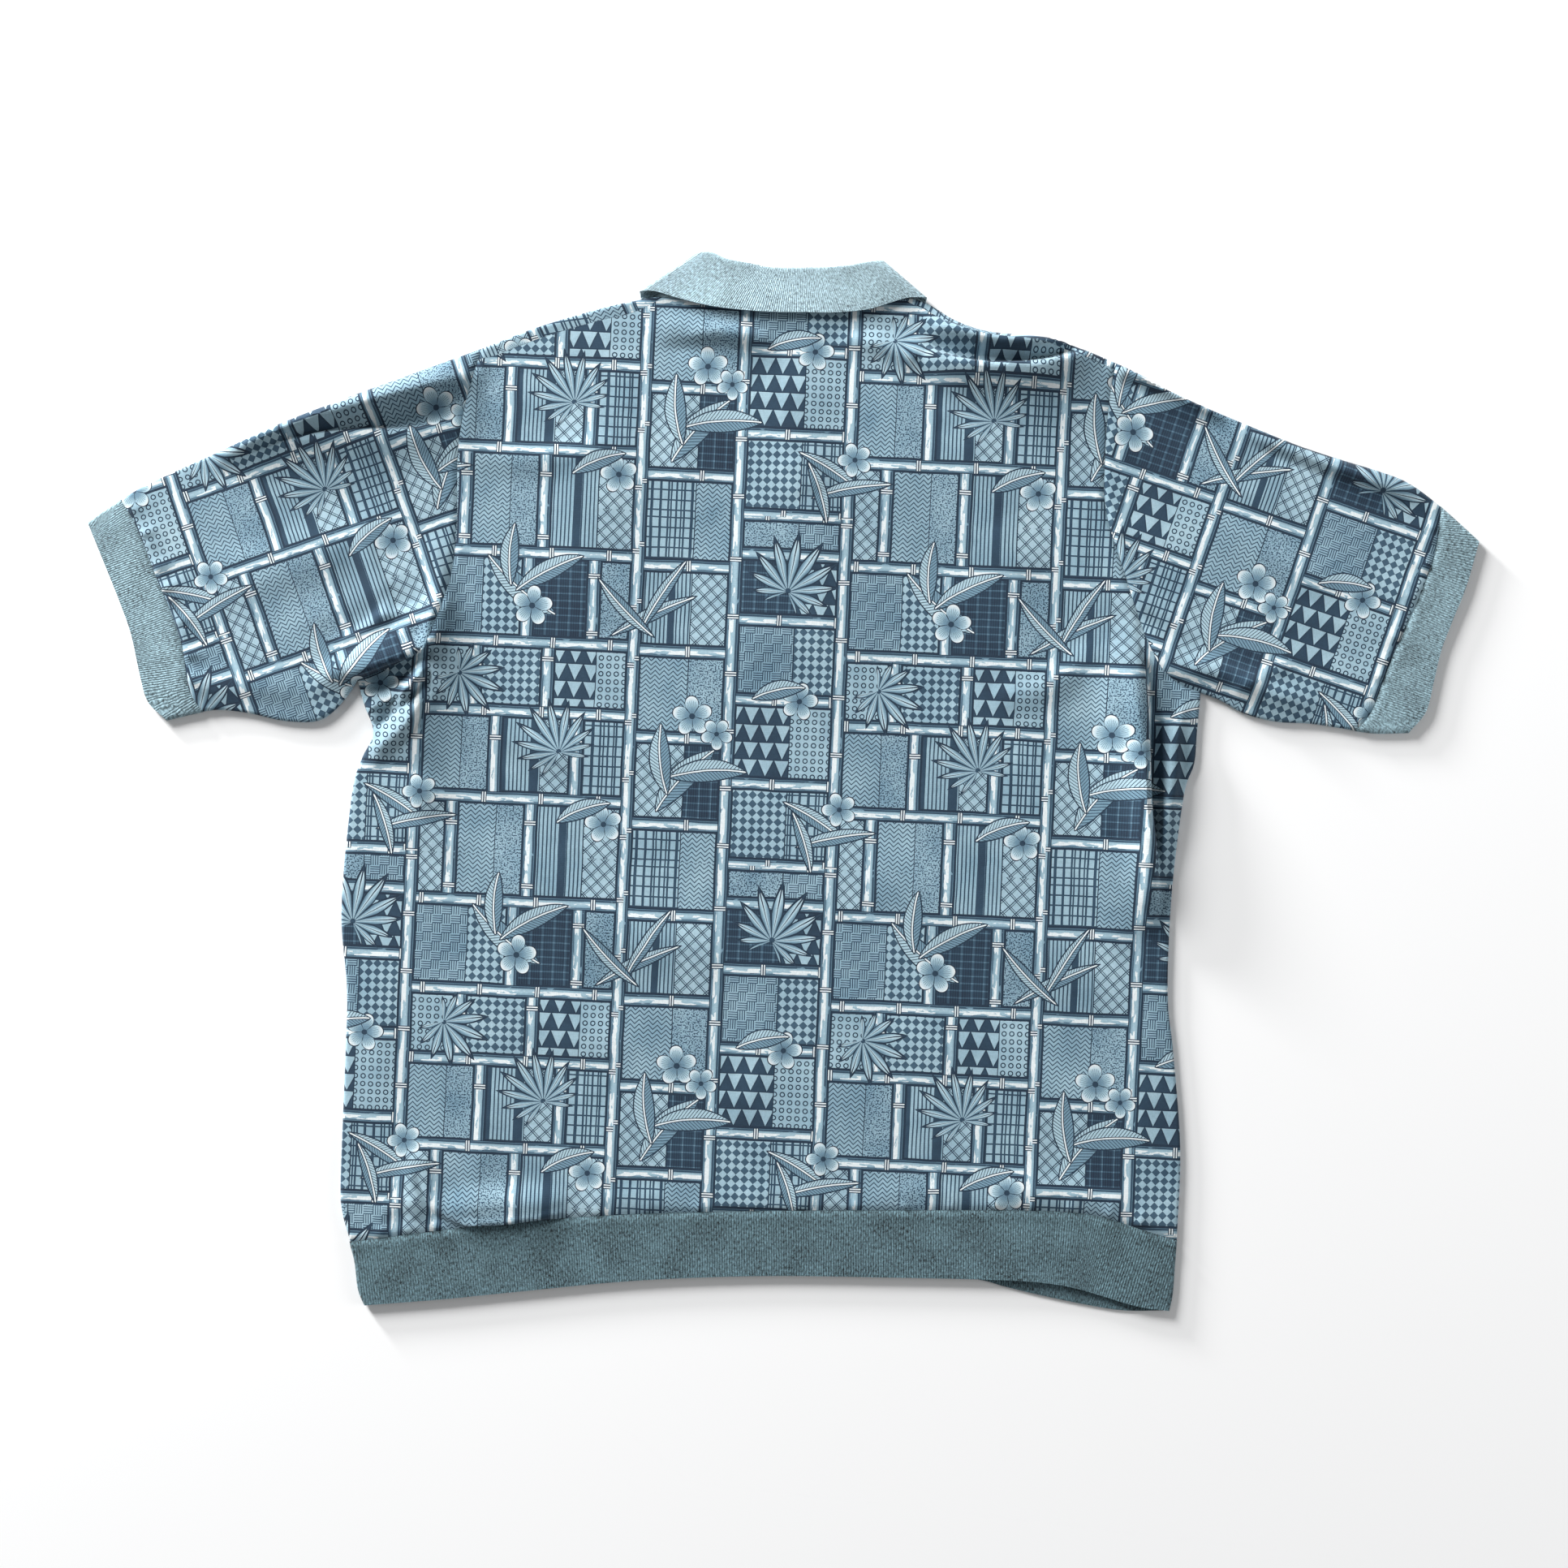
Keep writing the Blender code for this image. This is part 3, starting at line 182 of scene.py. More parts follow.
# Creases of the back and the sleeves, the strong ones first, on top of the folds above:
# height, width on the left and on the right, lean, the crest's x, y.
# The lean carries the crest over to the left of its line, in millimetres, so that cloth rolls over itself.
CREASES = (
    (8.0, 7.5, 13, 0, ((-224, 293), (-262, 283), (-305, 271), (-350, 257), (-396, 238))),
    (-3.2, 6, 6, 0, ((-236, 264), (-269, 258), (-310, 257), (-346, 252), (-388, 237))),
    (3.6, 13, 3.6, -2.0, ((-234, 255), (-268, 250), (-308, 249), (-344, 244), (-384, 230))),
    (8.5, 4.5, 7, 1.5, ((106, 328), (128, 321.5), (152, 316), (186, 314.5), (208, 314))),
    (-4.0, 4.5, 4.5, 0, ((106, 312), (128, 306), (150, 303.5), (180, 304.5), (208, 309.5))),
    (5.0, 3.4, 13, 2.4, ((102, 307), (126, 299.5), (150, 296.5), (184, 298), (214, 305))),
    (8.5, 3.4, 11, 2.8, ((250, 106), (255, 74), (257.5, 28), (259, -16), (262, -41), (266, -92))),
    (-6.0, 3.6, 3.6, 0, ((262, 86), (267, 57), (266.5, 28), (266, -10), (268, -44))),
    (-3.6, 4, 4, 0, ((269, 78), (276, 60), (281, 40))),
    (4.2, 5, 4.4, 0, ((285, 52), (280, 32), (277, -7), (271.5, -41), (269, -76))),
    (8.0, 8, 3.4, -3.0, ((-312, 77), (-286, 88), (-262, 97), (-245, 108))),
    (-3.0, 3.2, 3.2, 0, ((-301, 65), (-284, 70), (-268, 79), (-252, 94))),
    (4.4, 4.6, 2.8, -1.4, ((-297, 53), (-284, 60), (-268, 70), (-253, 84))),
    (-3.4, 3, 3, 0, ((-293, 40), (-279, 50), (-266, 61), (-255, 77))),
    (4.0, 4.4, 8, -1.0, ((-291, 24), (-276, 36), (-262, 52), (-250, 76))),
    (-2.4, 2.6, 3.4, 0, ((-251, 112), (-252.5, 90), (-254, 66), (-262, 44), (-276, 26))),
    (2.4, 4, 7, 0, ((-292, 118), (-268, 122), (-250, 130))),
    (2.6, 4, 6, 0, ((-318, 100), (-296, 112), (-280, 128))),
    (4.2, 10, 2.6, -3.0, ((-243, -307), (-228, -312), (-206, -312), (-180, -309), (-158, -306))),
    (-2.8, 2.8, 3.2, 0, ((-262, -279), (-258, -294), (-251, -307), (-240, -317))),
    (2.2, 7, 6, 0, ((-270, -280), (-266, -297), (-259, -313))),
    (7.0, 4.5, 6, 0, ((237, 299), (262, 290), (288, 279), (313, 267))),
    (-4.0, 5, 5, 0, ((242, 289), (272, 276), (300, 264), (317, 256))),
    (4.0, 9, 5, 0, ((330, 251), (372, 235), (412, 220), (452, 204))),
    (-2.6, 5, 5, 0, ((338, 239), (376, 225), (420, 210), (446, 200))),
    (3.0, 6, 9, 0, ((-300, 168), (-280, 128), (-262, 114))),
    (3.0, 6, 9, 0, ((-252, 176), (-246, 146), (-238, 112))),
    (2.4, 9, 12, 0, ((-236, 240), (-180, 232), (-120, 244))),
    (2.2, 12, 12, 0, ((-226, 60), (-190, 30), (-150, 16))),
    (2.6, 12, 9, 0, ((222, 96), (190, 70), (150, 60))),
    (2.6, 6, 8, 0, ((-70, 318), (-40, 322), (-8, 316))),
    (-1.8, 5, 5, 0, ((-84, 310), (-50, 313), (-12, 305))),
    (2.6, 6, 8, 0, ((40, 318), (70, 312), (96, 300))),
    (2.2, 7, 9, 0, ((250, 44), (232, 66), (214, 100))),
    (2.0, 6, 6, 0, ((322, 64), (340, 76), (362, 84))),
    (2.0, 6, 6, 0, ((-410, 66), (-430, 80), (-446, 100))),
    (2.4, 6, 8, 0, ((-300, 58), (-288, 36), (-292, 12))),
    (1.6, 5, 9, 0, ((-296, 108), (-262, 116), (-247, 140), (-243, 176))),
    (1.3, 5, 5, 0, ((-254, 52), (-240, 76), (-233, 100))),
    (1.1, 6, 6, 0, ((-272, 14), (-250, 40), (-240, 66))),
    (1.3, 9, 9, 0, ((-290, 6), (-262, -2), (-236, -14))),
    (1.0, 10, 10, 0, ((-286, -24), (-256, -40), (-226, -46))),
    (1.2, 7, 7, 0, ((-246, 200), (-256, 226), (-262, 244))),
    (1.0, 6, 8, 0, ((-292, 222), (-330, 214), (-366, 206))),
    (0.9, 9, 9, 0, ((-270, 150), (-310, 128), (-350, 112))),
    (0.9, 8, 8, 0, ((-330, 180), (-372, 164), (-410, 158))),
    (1.0, 9, 9, 0, ((258, 118), (242, 150), (238, 190))),
    (1.4, 5, 6, 0, ((292, 104), (276, 118), (258, 128), (243, 128))),
    (1.2, 4, 5, 0, ((280, 74), (264, 88), (254, 104))),
    (1.2, 5, 5, 0, ((314, 96), (300, 108), (284, 132))),
    (1.0, 6, 6, 0, ((250, 118), (240, 92), (236, 60), (238, 20))),
    (1.0, 10, 8, 0, ((232, 30), (228, -20), (232, -80), (240, -120))),
    (0.9, 8, 8, 0, ((300, 250), (330, 236), (366, 224))),
    (1.0, 9, 9, 0, ((262, 226), (300, 214), (340, 206), (380, 186))),
    (0.8, 9, 9, 0, ((330, 130), (372, 118), (412, 112))),
    (1.6, 5, 7, 0, ((244, 304), (268, 290), (290, 276), (306, 262))),
    (1.3, 6, 6, 0, ((230, 262), (243, 246), (256, 236))),
    (0.9, 12, 12, 0, ((20, 330), (14, 300), (6, 262), (8, 222))),
    (0.9, 12, 12, 0, ((-60, 300), (-72, 260), (-70, 214))),
    (0.8, 14, 14, 0, ((66, 296), (84, 250), (92, 200))),
    (1.1, 14, 14, 0, ((150, 184), (166, 166), (186, 154))),
    (0.8, 16, 12, 0, ((-150, 40), (-110, 20), (-70, 10))),
    (0.7, 14, 16, 0, ((60, 60), (110, 40), (160, 30))),
    (0.8, 18, 14, 0, ((-220, -150), (-160, -180), (-100, -190))),
    (0.8, 14, 18, 0, ((80, -180), (150, -200), (220, -230))),
    (0.9, 12, 12, 0, ((262, -170), (252, -210), (256, -262))),
    (0.9, 12, 10, 0, ((-296, -120), (-288, -180), (-292, -240))),
    (0.7, 12, 12, 0, ((-20, -120), (-10, -180), (-30, -240))),
    (1.3, 6, 5, 0, ((-292, -309), (-266, -300), (-244, -304))),
    (1.2, 7, 5, 0, ((-150, -300), (-110, -297), (-70, -299))),
    (0.9, 7, 5, 0, ((-50, -297), (-6, -294), (40, -296))),
    (1.1, 7, 5, 0, ((62, -296), (96, -293), (134, -296))),
    (1.2, 7, 5, 0, ((250, -308), (266, -312), (279, -316))),
    (0.9, 8, 8, 0, ((-222, -286), (-216, -262), (-220, -236))),
    (0.8, 8, 8, 0, ((-128, -288), (-122, -262), (-126, -240))),
    (0.8, 9, 9, 0, ((20, -286), (26, -262), (20, -236))),
    (0.8, 9, 9, 0, ((176, -284), (184, -258), (178, -232))),
)

# Puckers where a cloth seam is held in by the tighter rib: along the seam, the distance of each and its height
PUCKERS_LEFT = (
    (11, 0.6), (29, 1.1), (37, 0.5), (55, 0.9), (71, 1.2), (79, 0.6), (97, 0.9), (104, 0.4), (121, 1.1), (139, 0.7),
)
PUCKERS_RIGHT = (
    (15, 0.9), (23, 0.5), (43, 1.1), (60, 0.6), (68, 1.0), (90, 0.7), (99, 1.1), (118, 0.5), (129, 1.0), (140, 0.5),
)
PUCKERS_HEM = (
    (22, 0.8), (41, 0.6), (63, 0.9), (88, 0.6), (117, 0.7), (149, 0.5), (178, 0.6), (214, 0.5), (251, 0.7), (290, 0.4),
    (322, 0.6), (361, 0.5), (398, 0.6), (431, 0.5), (462, 0.7), (489, 0.6), (517, 0.8), (543, 0.7), (566, 0.9),
)

# Creases of the front, which lies on the floor, like those above it but lower
FRONT_CREASES = (
    (4.6, 9, 12, 0, ((-226, 291), (-262, 281), (-305, 269), (-350, 256), (-396, 237))),
    (-2.6, 6, 6, 0, ((-236, 263), (-269, 256.5), (-310, 256), (-346, 251), (-388, 236))),
    (2.8, 12, 4, -1.5, ((-234, 254), (-268, 249), (-308, 248), (-344, 243), (-384, 229))),
    (5.6, 5, 7, 1.5, ((104, 329), (126, 322), (152, 316), (188, 314), (208, 313))),
    (-3.2, 4.5, 4.5, 0, ((108, 312), (128, 305.5), (150, 303), (180, 304), (208, 309.5))),
    (3.2, 3.5, 13, 2.0, ((104, 307), (126, 299), (150, 296), (184, 297.5), (214, 305))),
    (3.6, 4, 10, 2.4, ((247, 78), (252, 40), (256, -5), (259, -50), (262, -100))),
    (-3.6, 5, 5, 0, ((262, 66), (265, 36), (267, -6), (268, -48))),
    (2.2, 5, 5, 0, ((281, 56), (280, 14), (276, -30), (271, -70))),
    (4.6, 8, 3.5, -3.0, ((-310, 77), (-286, 87), (-262, 96), (-246, 107))),
    (-3.6, 8, 8, 0, ((-302, 66), (-290, 62), (-276, 74), (-262, 86))),
    (2.4, 5, 9, 0, ((-268, 44), (-258, 70), (-248, 96))),
    (-2.0, 4, 4, 0, ((-262, 28), (-246, 54), (-238, 84))),
    (3.8, 10, 3.2, -2.4, ((-246, -309), (-222, -307), (-198, -306), (-176, -304))),
    (-3.0, 3.4, 3.4, 0, ((-251, -282), (-252, -298), (-248, -314))),
    (1.8, 6, 6, 0, ((-262, -280), (-263, -300), (-260, -316))),
    (4.2, 5, 6, 0, ((238, 298), (262, 289), (288, 278), (312, 267))),
    (-3.0, 5, 5, 0, ((243, 288), (272, 275), (300, 263), (316, 257))),
    (2.4, 8, 5, 0, ((330, 250), (372, 234), (412, 219), (450, 205))),
    (-1.6, 5, 5, 0, ((340, 238), (376, 224), (420, 209))),
    (2.2, 6, 9, 0, ((-300, 168), (-280, 128), (-262, 114))),
    (2.0, 6, 9, 0, ((-252, 176), (-246, 146), (-238, 112))),
    (1.8, 9, 12, 0, ((-236, 240), (-180, 232), (-120, 244))),
    (1.6, 12, 12, 0, ((-226, 60), (-190, 30), (-150, 16))),
    (1.8, 12, 9, 0, ((222, 96), (190, 70), (150, 60))),
    (0.9, 14, 14, 0, ((-250, 40), (-180, 20), (-120, 30))),
    (0.8, 12, 12, 0, ((240, 60), (190, 20), (120, 10))),
    (0.9, 16, 14, 0, ((-220, -120), (-120, -150), (-30, -140))),
    (0.8, 14, 16, 0, ((40, -200), (130, -220), (230, -190))),
    (0.9, 12, 12, 0, ((-200, -290), (-190, -240), (-210, -190))),
    (0.8, 12, 12, 0, ((180, -290), (170, -240), (186, -190))),
    (0.8, 12, 12, 0, ((-180, 260), (-150, 200), (-170, 130))),
    (0.8, 12, 12, 0, ((180, 250), (160, 190), (176, 130))),
    (0.7, 10, 10, 0, ((-290, 200), (-350, 170), (-420, 140))),
    (0.7, 10, 10, 0, ((290, 190), (350, 160), (420, 130))),
)

# How far apart points lie in the upper layer, in the lower one and along the outlines
FINE, COARSE, RIM = 4.2, 9.0, 4.2
LEAST_RISE = 1.9  # what the upper layer keeps above the lower one's middle
ROLL_AT = (0.25, 0.6, 1.2, 2.0)
ROLL_SHARES = (0.03, 0.12, 0.29, 0.6, 1.0)
SEAM_ROWS = (1.1, 2.5, 4.6)
SLOT_AT = np.linspace(0, 1, 33)
BUTTON_SIDES = 40


# ---------------------------------------------------------------- lines in plan


def smooth(points, steps=12):
    """A smooth line through the points, with that many steps between each two."""
    p = np.array(points, float)
    p = np.vstack([2 * p[0] - p[1], p, 2 * p[-1] - p[-2]])
    t = np.linspace(0, 1, steps, endpoint=False)[:, None]
    spans = []
    for a, b, c, d in zip(p[:-3], p[1:-2], p[2:-1], p[3:]):
        spans.append(0.5 * (2 * b + (c - a) * t + (2 * a - 5 * b + 4 * c - d) * t**2 + (3 * b - 3 * c + d - a) * t**3))
    return np.vstack([*spans, p[-2:-1]])


def lengths(line):
    """The length of a line up to each of its points."""
    return np.concatenate([[0], np.cumsum(np.linalg.norm(np.diff(line, axis=0), axis=1))])


def at_length(line, far):
    """The points that lie so far along a line."""
    s = lengths(line)
    return np.stack([np.interp(far, s, line[:, k]) for k in range(line.shape[1])], axis=-1)


def at_share(line, share):
    """The points at shares of a line's length, from 0 to 1."""
    return at_length(line, np.asarray(share, float) * lengths(line)[-1])


def split(line, point):
    """The two parts of a line, before and after its point nearest to one given."""
    k = np.linalg.norm(line - np.array(point), axis=1).argmin()
    return line[: k + 1], line[k:]


def unit(ways):
    """Directions of length 1."""
    return ways / np.linalg.norm(ways, axis=-1, keepdims=True)


def along_line(x, y, line):
    """For each point: its distance from a line, how far it is to the left of it from -1 to 1, and how far along."""
    p = np.stack([np.ravel(x), np.ravel(y)], axis=1).astype(float)
    best, left, along = np.full(len(p), np.inf), np.zeros(len(p)), np.zeros(len(p))
    for (a, b), start in zip(zip(line[:-1], line[1:]), lengths(line)):
        d = b - a
        size = math.sqrt(d @ d)
        t = np.clip(((p - a) @ d) / (d @ d), 0, 1)
        off = p - a - t[:, None] * d
        far = np.hypot(off[:, 0], off[:, 1])
        nearer = far < best
        best[nearer] = far[nearer]
        left[nearer] = ((d[0] * off[:, 1] - d[1] * off[:, 0]) / (size * np.maximum(far, 1e-6)))[nearer]
        along[nearer] = (start + t * size)[nearer]
    shape = np.shape(x)
    return best.reshape(shape), np.clip(left, -1, 1).reshape(shape), along.reshape(shape)


def near(x, y, line, reach):
    """Which points lie in a line's box, widened by its reach."""
    low, high = line.min(axis=0) - reach, line.max(axis=0) + reach
    return (x > low[0]) & (x < high[0]) & (y > low[1]) & (y < high[1])


def distance(x, y, line, reach):
    """Distance from a line for the points within reach of it, and the reach itself for the others."""
    out = np.full(np.shape(x), float(reach))
    here = near(x, y, line, reach)
    if here.any():
        out[here] = np.minimum(along_line(x[here], y[here], line)[0], reach)
    return out


def run_on(line, start=False, end=True, by=60.0):
    """The line, run on straight past its ends."""
    parts = [line]
    if start:
        parts.insert(0, (line[0] + unit(line[0] - line[1]) * by)[None])
    if end:
        parts.append((line[-1] + unit(line[-1] - line[-2]) * by)[None])
    return np.vstack(parts)


def folded_edges():
    """The lines at which the two layers turn into each other."""
    edges = [run_on(smooth(TOP_LEFT)), run_on(smooth(TOP_RIGHT))]
    for under, side, band in ((UNDER_LEFT, SIDE_LEFT, BAND_LEFT), (UNDER_RIGHT, SIDE_RIGHT, BAND_RIGHT)):
        line = np.vstack([smooth(under)[::-1], smooth(side)[::-1][1:], smooth(band)[1:]])
        edges.append(run_on(line, start=True))
    return edges


EDGES = folded_edges()
SEAMS = [smooth(line) for line in (ARMHOLE_LEFT, ARMHOLE_RIGHT, CUFF_SEAM_LEFT, CUFF_SEAM_RIGHT, HEM_SEAM)]


# ---------------------------------------------------------------- heights


def smoothstep(low, high, value):
    """0 below low, 1 above high, and a soft step between."""
    t = np.clip((value - low) / (high - low), 0, 1)
    return t * t * (3 - 2 * t)


def over_placket(x, y):
    """How much the placket's extra cloth fills the room between the layers, with wide soft margins."""
    across = 1 - smoothstep(PLACKET_WIDTH / 2 + 3, PLACKET_WIDTH / 2 + 26, np.abs(x - PLACKET_X))
    return across * smoothstep(PLACKET_FOOT - 32, PLACKET_FOOT - 4, y) * (1 - smoothstep(272, 292, y))


def rise(x, y):
    """How far the front lies above the floor."""
    r = np.hypot((x - NECK_CENTRE[0]) / NECK_REACH[0], (y - NECK_CENTRE[1]) / NECK_REACH[1])
    return np.maximum(COLLAR_RISE * (1 - smoothstep(1.0, 1.35, r)), BUTTON_RISE * over_placket(x, y))


def rise_over(x, y):
    """How far the upper layer is lifted: as much as the front at least, with wide soft margins."""
    r = np.hypot((x - NECK_CENTRE[0]) / NECK_REACH[0], (y - NECK_CENTRE[1]) / NECK_REACH[1])
    wide = (1 - smoothstep(20, 95, np.abs(x - PLACKET_X))) * smoothstep(PLACKET_FOOT - 100, PLACKET_FOOT, y)
    over_leaves = COLLAR_RISE * (1 - smoothstep(1.0, 1.9, r))
    over_buttons = BUTTON_RISE * wide * (1 - smoothstep(275, 345, y))
    return np.maximum(rise(x, y), np.maximum(over_leaves, over_buttons))


def ridge(x, y, height, left, right, crest, fade=0.0):
    """One fold's height over the points, with rounded ends."""
    out = np.zeros(np.shape(x))
    line = smooth(crest, 6)
    here = near(x, y, line, 2.6 * max(left, right))
    if here.any():
        far, turn, along = along_line(x[here], y[here], line)
        wide = (left + right) / 2 + (left - right) / 2 * turn
        share = along / lengths(line)[-1]
        out[here] = height * np.exp(-((far / wide) ** 2)) * (1 - fade * (2 * share - 1) ** 4)
    return out


def loft(x, y):
    """Distance between the middles of the two layers, as in the solids."""
    total = LOFT + PLACKET_EXTRA_LOFT * over_placket(x, y)
    for height, left, right, crest in FOLDS.values():
        total = total + ridge(x, y, height, left, right, crest, 0.6)
    return np.maximum(total, LEAST_LOFT)


def puckers(x, y, seam, places, reach, side):
    """Short tucks that run into the cloth from a seam, on one side of it: 1 for the left as it runs, else -1."""
    out = np.zeros(np.shape(x))
    here = near(x, y, seam, reach * 2.5)
    if here.any():
        far, left, along = along_line(x[here], y[here], seam)
        total = np.zeros(far.shape)
        for place, height in places:
            total += 1.7 * height * np.exp(-(((along - place) / (2.6 + 0.12 * far)) ** 2))
        out[here] = total * np.exp(-((far / reach) ** 2)) * smoothstep(0.0, 2.0, far) * (left * side > 0)
    return out


def creased(x, y):
    """The fine creases, puckers and seams on top of the folds."""
    total = np.zeros(np.shape(x))
    for height, left, right, _, crest in CREASES:
        total += ridge(x, y, height, left, right, crest, 0.75)
    total += puckers(x, y, SEAMS[2], PUCKERS_LEFT, 15, 1) + puckers(x, y, SEAMS[3], PUCKERS_RIGHT, 15, -1)
    total += puckers(x, y, SEAMS[4], PUCKERS_HEM, 11, 1)
    for seam in SEAMS:
        far = distance(x, y, seam, 12)
        total += 0.45 * np.exp(-(((far - 4.5) / 2.6) ** 2)) - 0.75 * np.exp(-((far / 1.5) ** 2))
    return total


def leaned(x, y):
    """How far a crest that leans carries the cloth over, in plan."""
    total = np.zeros((len(x), 2))
    for _, left, right, lean, crest in CREASES:
        if lean:
            way = unit(np.subtract(crest[-1], crest[0]))
            total += ridge(x, y, lean, left, right, crest, 0.9)[:, None] * (-way[1], way[0])
    return total


def turned(x, y, apart):
    """1 where the layers lie flat, and down to 0 at a folded edge, round a half circle."""
    far = np.min([distance(x, y, edge, 14) for edge in EDGES], axis=0)
    return np.sqrt(1 - np.clip(1 - far / (apart / 2), 0, 1) ** 2)


def upper(plan):
    """Points of the upper layer over points in plan."""
    x, y = plan[:, 0], plan[:, 1]
    apart = loft(x, y)
    turn = turned(x, y, apart)
    lifted_by = rise(x, y) * (1 - turn) + rise_over(x, y) * turn
    z = SOLID_WALL / 2 + lifted_by + apart * (1 + turn) / 2 + creased(x, y) * turn
    least = SOLID_WALL / 2 + lifted_by + LEAST_RISE * turn
    return np.column_stack([plan + leaned(x, y) * turn[:, None], np.maximum(z, least)])


def lower(plan):
    """Points of the lower layer over points in plan."""
    x, y = plan[:, 0], plan[:, 1]
    apart = loft(x, y)
    turn = turned(x, y, apart)
    lift = np.zeros(len(x))
    for height, left, right, _, crest in FRONT_CREASES:
        lift += ridge(x, y, height, left, right, crest, 0.75)
    # the solid's wall is thicker than the cloth, so the cloth comes down to the floor by half of what is left
    rest = SOLID_WALL / 2 - (SOLID_WALL - CLOTH) / 2 * turn
    return np.column_stack([x, y, rest + rise(x, y) + apart * (1 - turn) / 2 + lift * turn])


# ---------------------------------------------------------------- sheets


def stations(line, step, close=(False, False)):
    """Even stations along a line, with the close ones that a folded edge needs at either end."""
    whole = lengths(line)[-1]
    far = list(np.linspace(0, whole, max(2, round(whole / step)) + 1))
    if close[0]:
        far = [0, *ROLL_AT, *[f for f in far if f > ROLL_AT[-1] + 0.3 * step]]
    if close[1]:
        far = [*[f for f in far if f < whole - ROLL_AT[-1] - 0.3 * step], *[whole - r for r in ROLL_AT[::-1]], whole]
    return at_length(line, np.array(far))


def loop_of(*lines):
    """A closed outline from lines that follow on from each other."""
    loop = np.vstack(lines)
    return loop[np.linalg.norm(loop - np.roll(loop, 1, axis=0), axis=1) > 1e-6]


def inside(loop, spots):
    """Which spots lie inside a closed outline."""
    a, b = loop, np.roll(loop, -1, axis=0)
    found = []
    for some in np.array_split(spots, max(1, len(spots) // 3000)):
        x, y = some[:, 0:1], some[:, 1:2]
        crosses = (a[:, 1] > y) != (b[:, 1] > y)
        at = a[:, 0] + (y - a[:, 1]) * (b[:, 0] - a[:, 0]) / np.where(crosses, b[:, 1] - a[:, 1], 1)
        found.append((crosses & (x < at)).sum(axis=1) % 2 == 1)
    return np.concatenate(found)


def rows_inside(loop):
    """Rows of points along the outline: where the layers turn at a folded edge, and beside the seams."""
    ahead, behind = np.roll(loop, -1, axis=0), np.roll(loop, 1, axis=0)
    way = unit(ahead - behind) * np.sign((loop[:, 0] * ahead[:, 1] - ahead[:, 0] * loop[:, 1]).sum())
    inward = np.stack([-way[:, 1], way[:, 0]], axis=1)
    x, y = loop[:, 0], loop[:, 1]
    folded = np.min([distance(x, y, edge, 14) for edge in EDGES], axis=0) < 0.02
    half = loft(x, y) / 2
    found = []
    for share in ROLL_SHARES:
        found.append((loop + inward * (half * share)[:, None])[folded])
    for row in SEAM_ROWS:
        found.append((loop + inward * row)[~folded])
    return np.vstack(found)


def crease_points():
    """Close points along and across the sharp creases."""
    found = []
    for height, left, right, lean, crest in CREASES:
        if abs(height) > 1.9 or lean:
            line = stations(smooth(crest), 3.0)
            way = unit(np.gradient(line, axis=0))
            aside = np.stack([-way[:, 1], way[:, 0]], axis=1)
            for share in (-1.9, -1.3, -0.9, -0.55, -0.25, 0.0, 0.25, 0.55, 0.9, 1.3, 1.9):
                found.append(line + aside * share * (left if share > 0 else right))
    for seam, places, side in ((SEAMS[2], PUCKERS_LEFT, 1), (SEAMS[3], PUCKERS_RIGHT, -1), (SEAMS[4], PUCKERS_HEM, 1)):
        way = unit(np.gradient(seam, axis=0))
        aside = np.stack([-way[:, 1], way[:, 0]], axis=1) * side
        for far in (2.2, 4.2, 6.6, 9.4, 12.6):
            along = np.array([place + k * (2.0 + 0.1 * far) for place, _ in places for k in (-1.4, -0.7, 0, 0.7, 1.4)])
            found.append(at_length(seam, along) + nearest_way(seam, aside, along) * far)
    return np.vstack(found)


def nearest_way(line, ways, along):
    """The way aside at distances along a line."""
    far = lengths(line)
    return np.stack([np.interp(along, far, ways[:, k]) for k in (0, 1)], axis=1)


def lattice(loop, step):
    """Points in staggered rows over an outline's box."""
    low, high = loop.min(axis=0), loop.max(axis=0)
    rows = np.arange(low[1], high[1], step * 0.866)
    return np.array([(x + step / 2 * (i % 2), y) for i, y in enumerate(rows) for x in np.arange(low[0], high[0], step)])


class Spots:
    """Points in plan, kept apart from each other."""

    def __init__(self, points):
        self.points, self.cells = [], {}
        for point in points:
            self.put(point)

    def put(self, point):
        self.points.append(point)
        self.cells.setdefault((int(point[0] // 4), int(point[1] // 4)), []).append(point)

    def add(self, spots, apart):
        reach = math.ceil(apart / 4)
        steps = [(i, j) for i in range(-reach, reach + 1) for j in range(-reach, reach + 1)]
        for x, y in spots:
            i0, j0 = int(x // 4), int(y // 4)
            if all(
                (x - p) ** 2 + (y - q) ** 2 > apart * apart
                for i, j in steps for p, q in self.cells.get((i0 + i, j0 + j), ())
            ):
                self.put((x, y))


def fill(loop, step):
    """Triangles inside an outline in plan: its own stations come first among the points."""
    spots = Spots([tuple(p) for p in loop])
    rows = rows_inside(loop)
    rows = rows[inside(loop, rows)]
    spots.add(rows.tolist(), 0.22)
    if step == FINE:
        close = crease_points()
        spots.add(close[inside(loop, close)].tolist(), 1.15)
    grid = lattice(loop, step)
    spots.add(grid[inside(loop, grid)].tolist(), 0.55 * step)
    points = np.array(spots.points)
    count = len(loop)
    edges = [(k, (k + 1) % count) for k in range(count)]
    found = delaunay_2d_cdt([tuple(p) for p in points], edges, [], 1, 1e-5)
    plan = np.array([tuple(p) for p in found[0]])
    back = np.array([origin[0] for origin in found[3]])
    cells = np.array(found[2])
    a, b, c = plan[cells[:, 0]], plan[cells[:, 1]], plan[cells[:, 2]]
    cross = (b[:, 0] - a[:, 0]) * (c[:, 1] - a[:, 1]) - (b[:, 1] - a[:, 1]) * (c[:, 0] - a[:, 0])
    cells[cross < 0] = cells[cross < 0][:, ::-1]
    return points, back[cells]


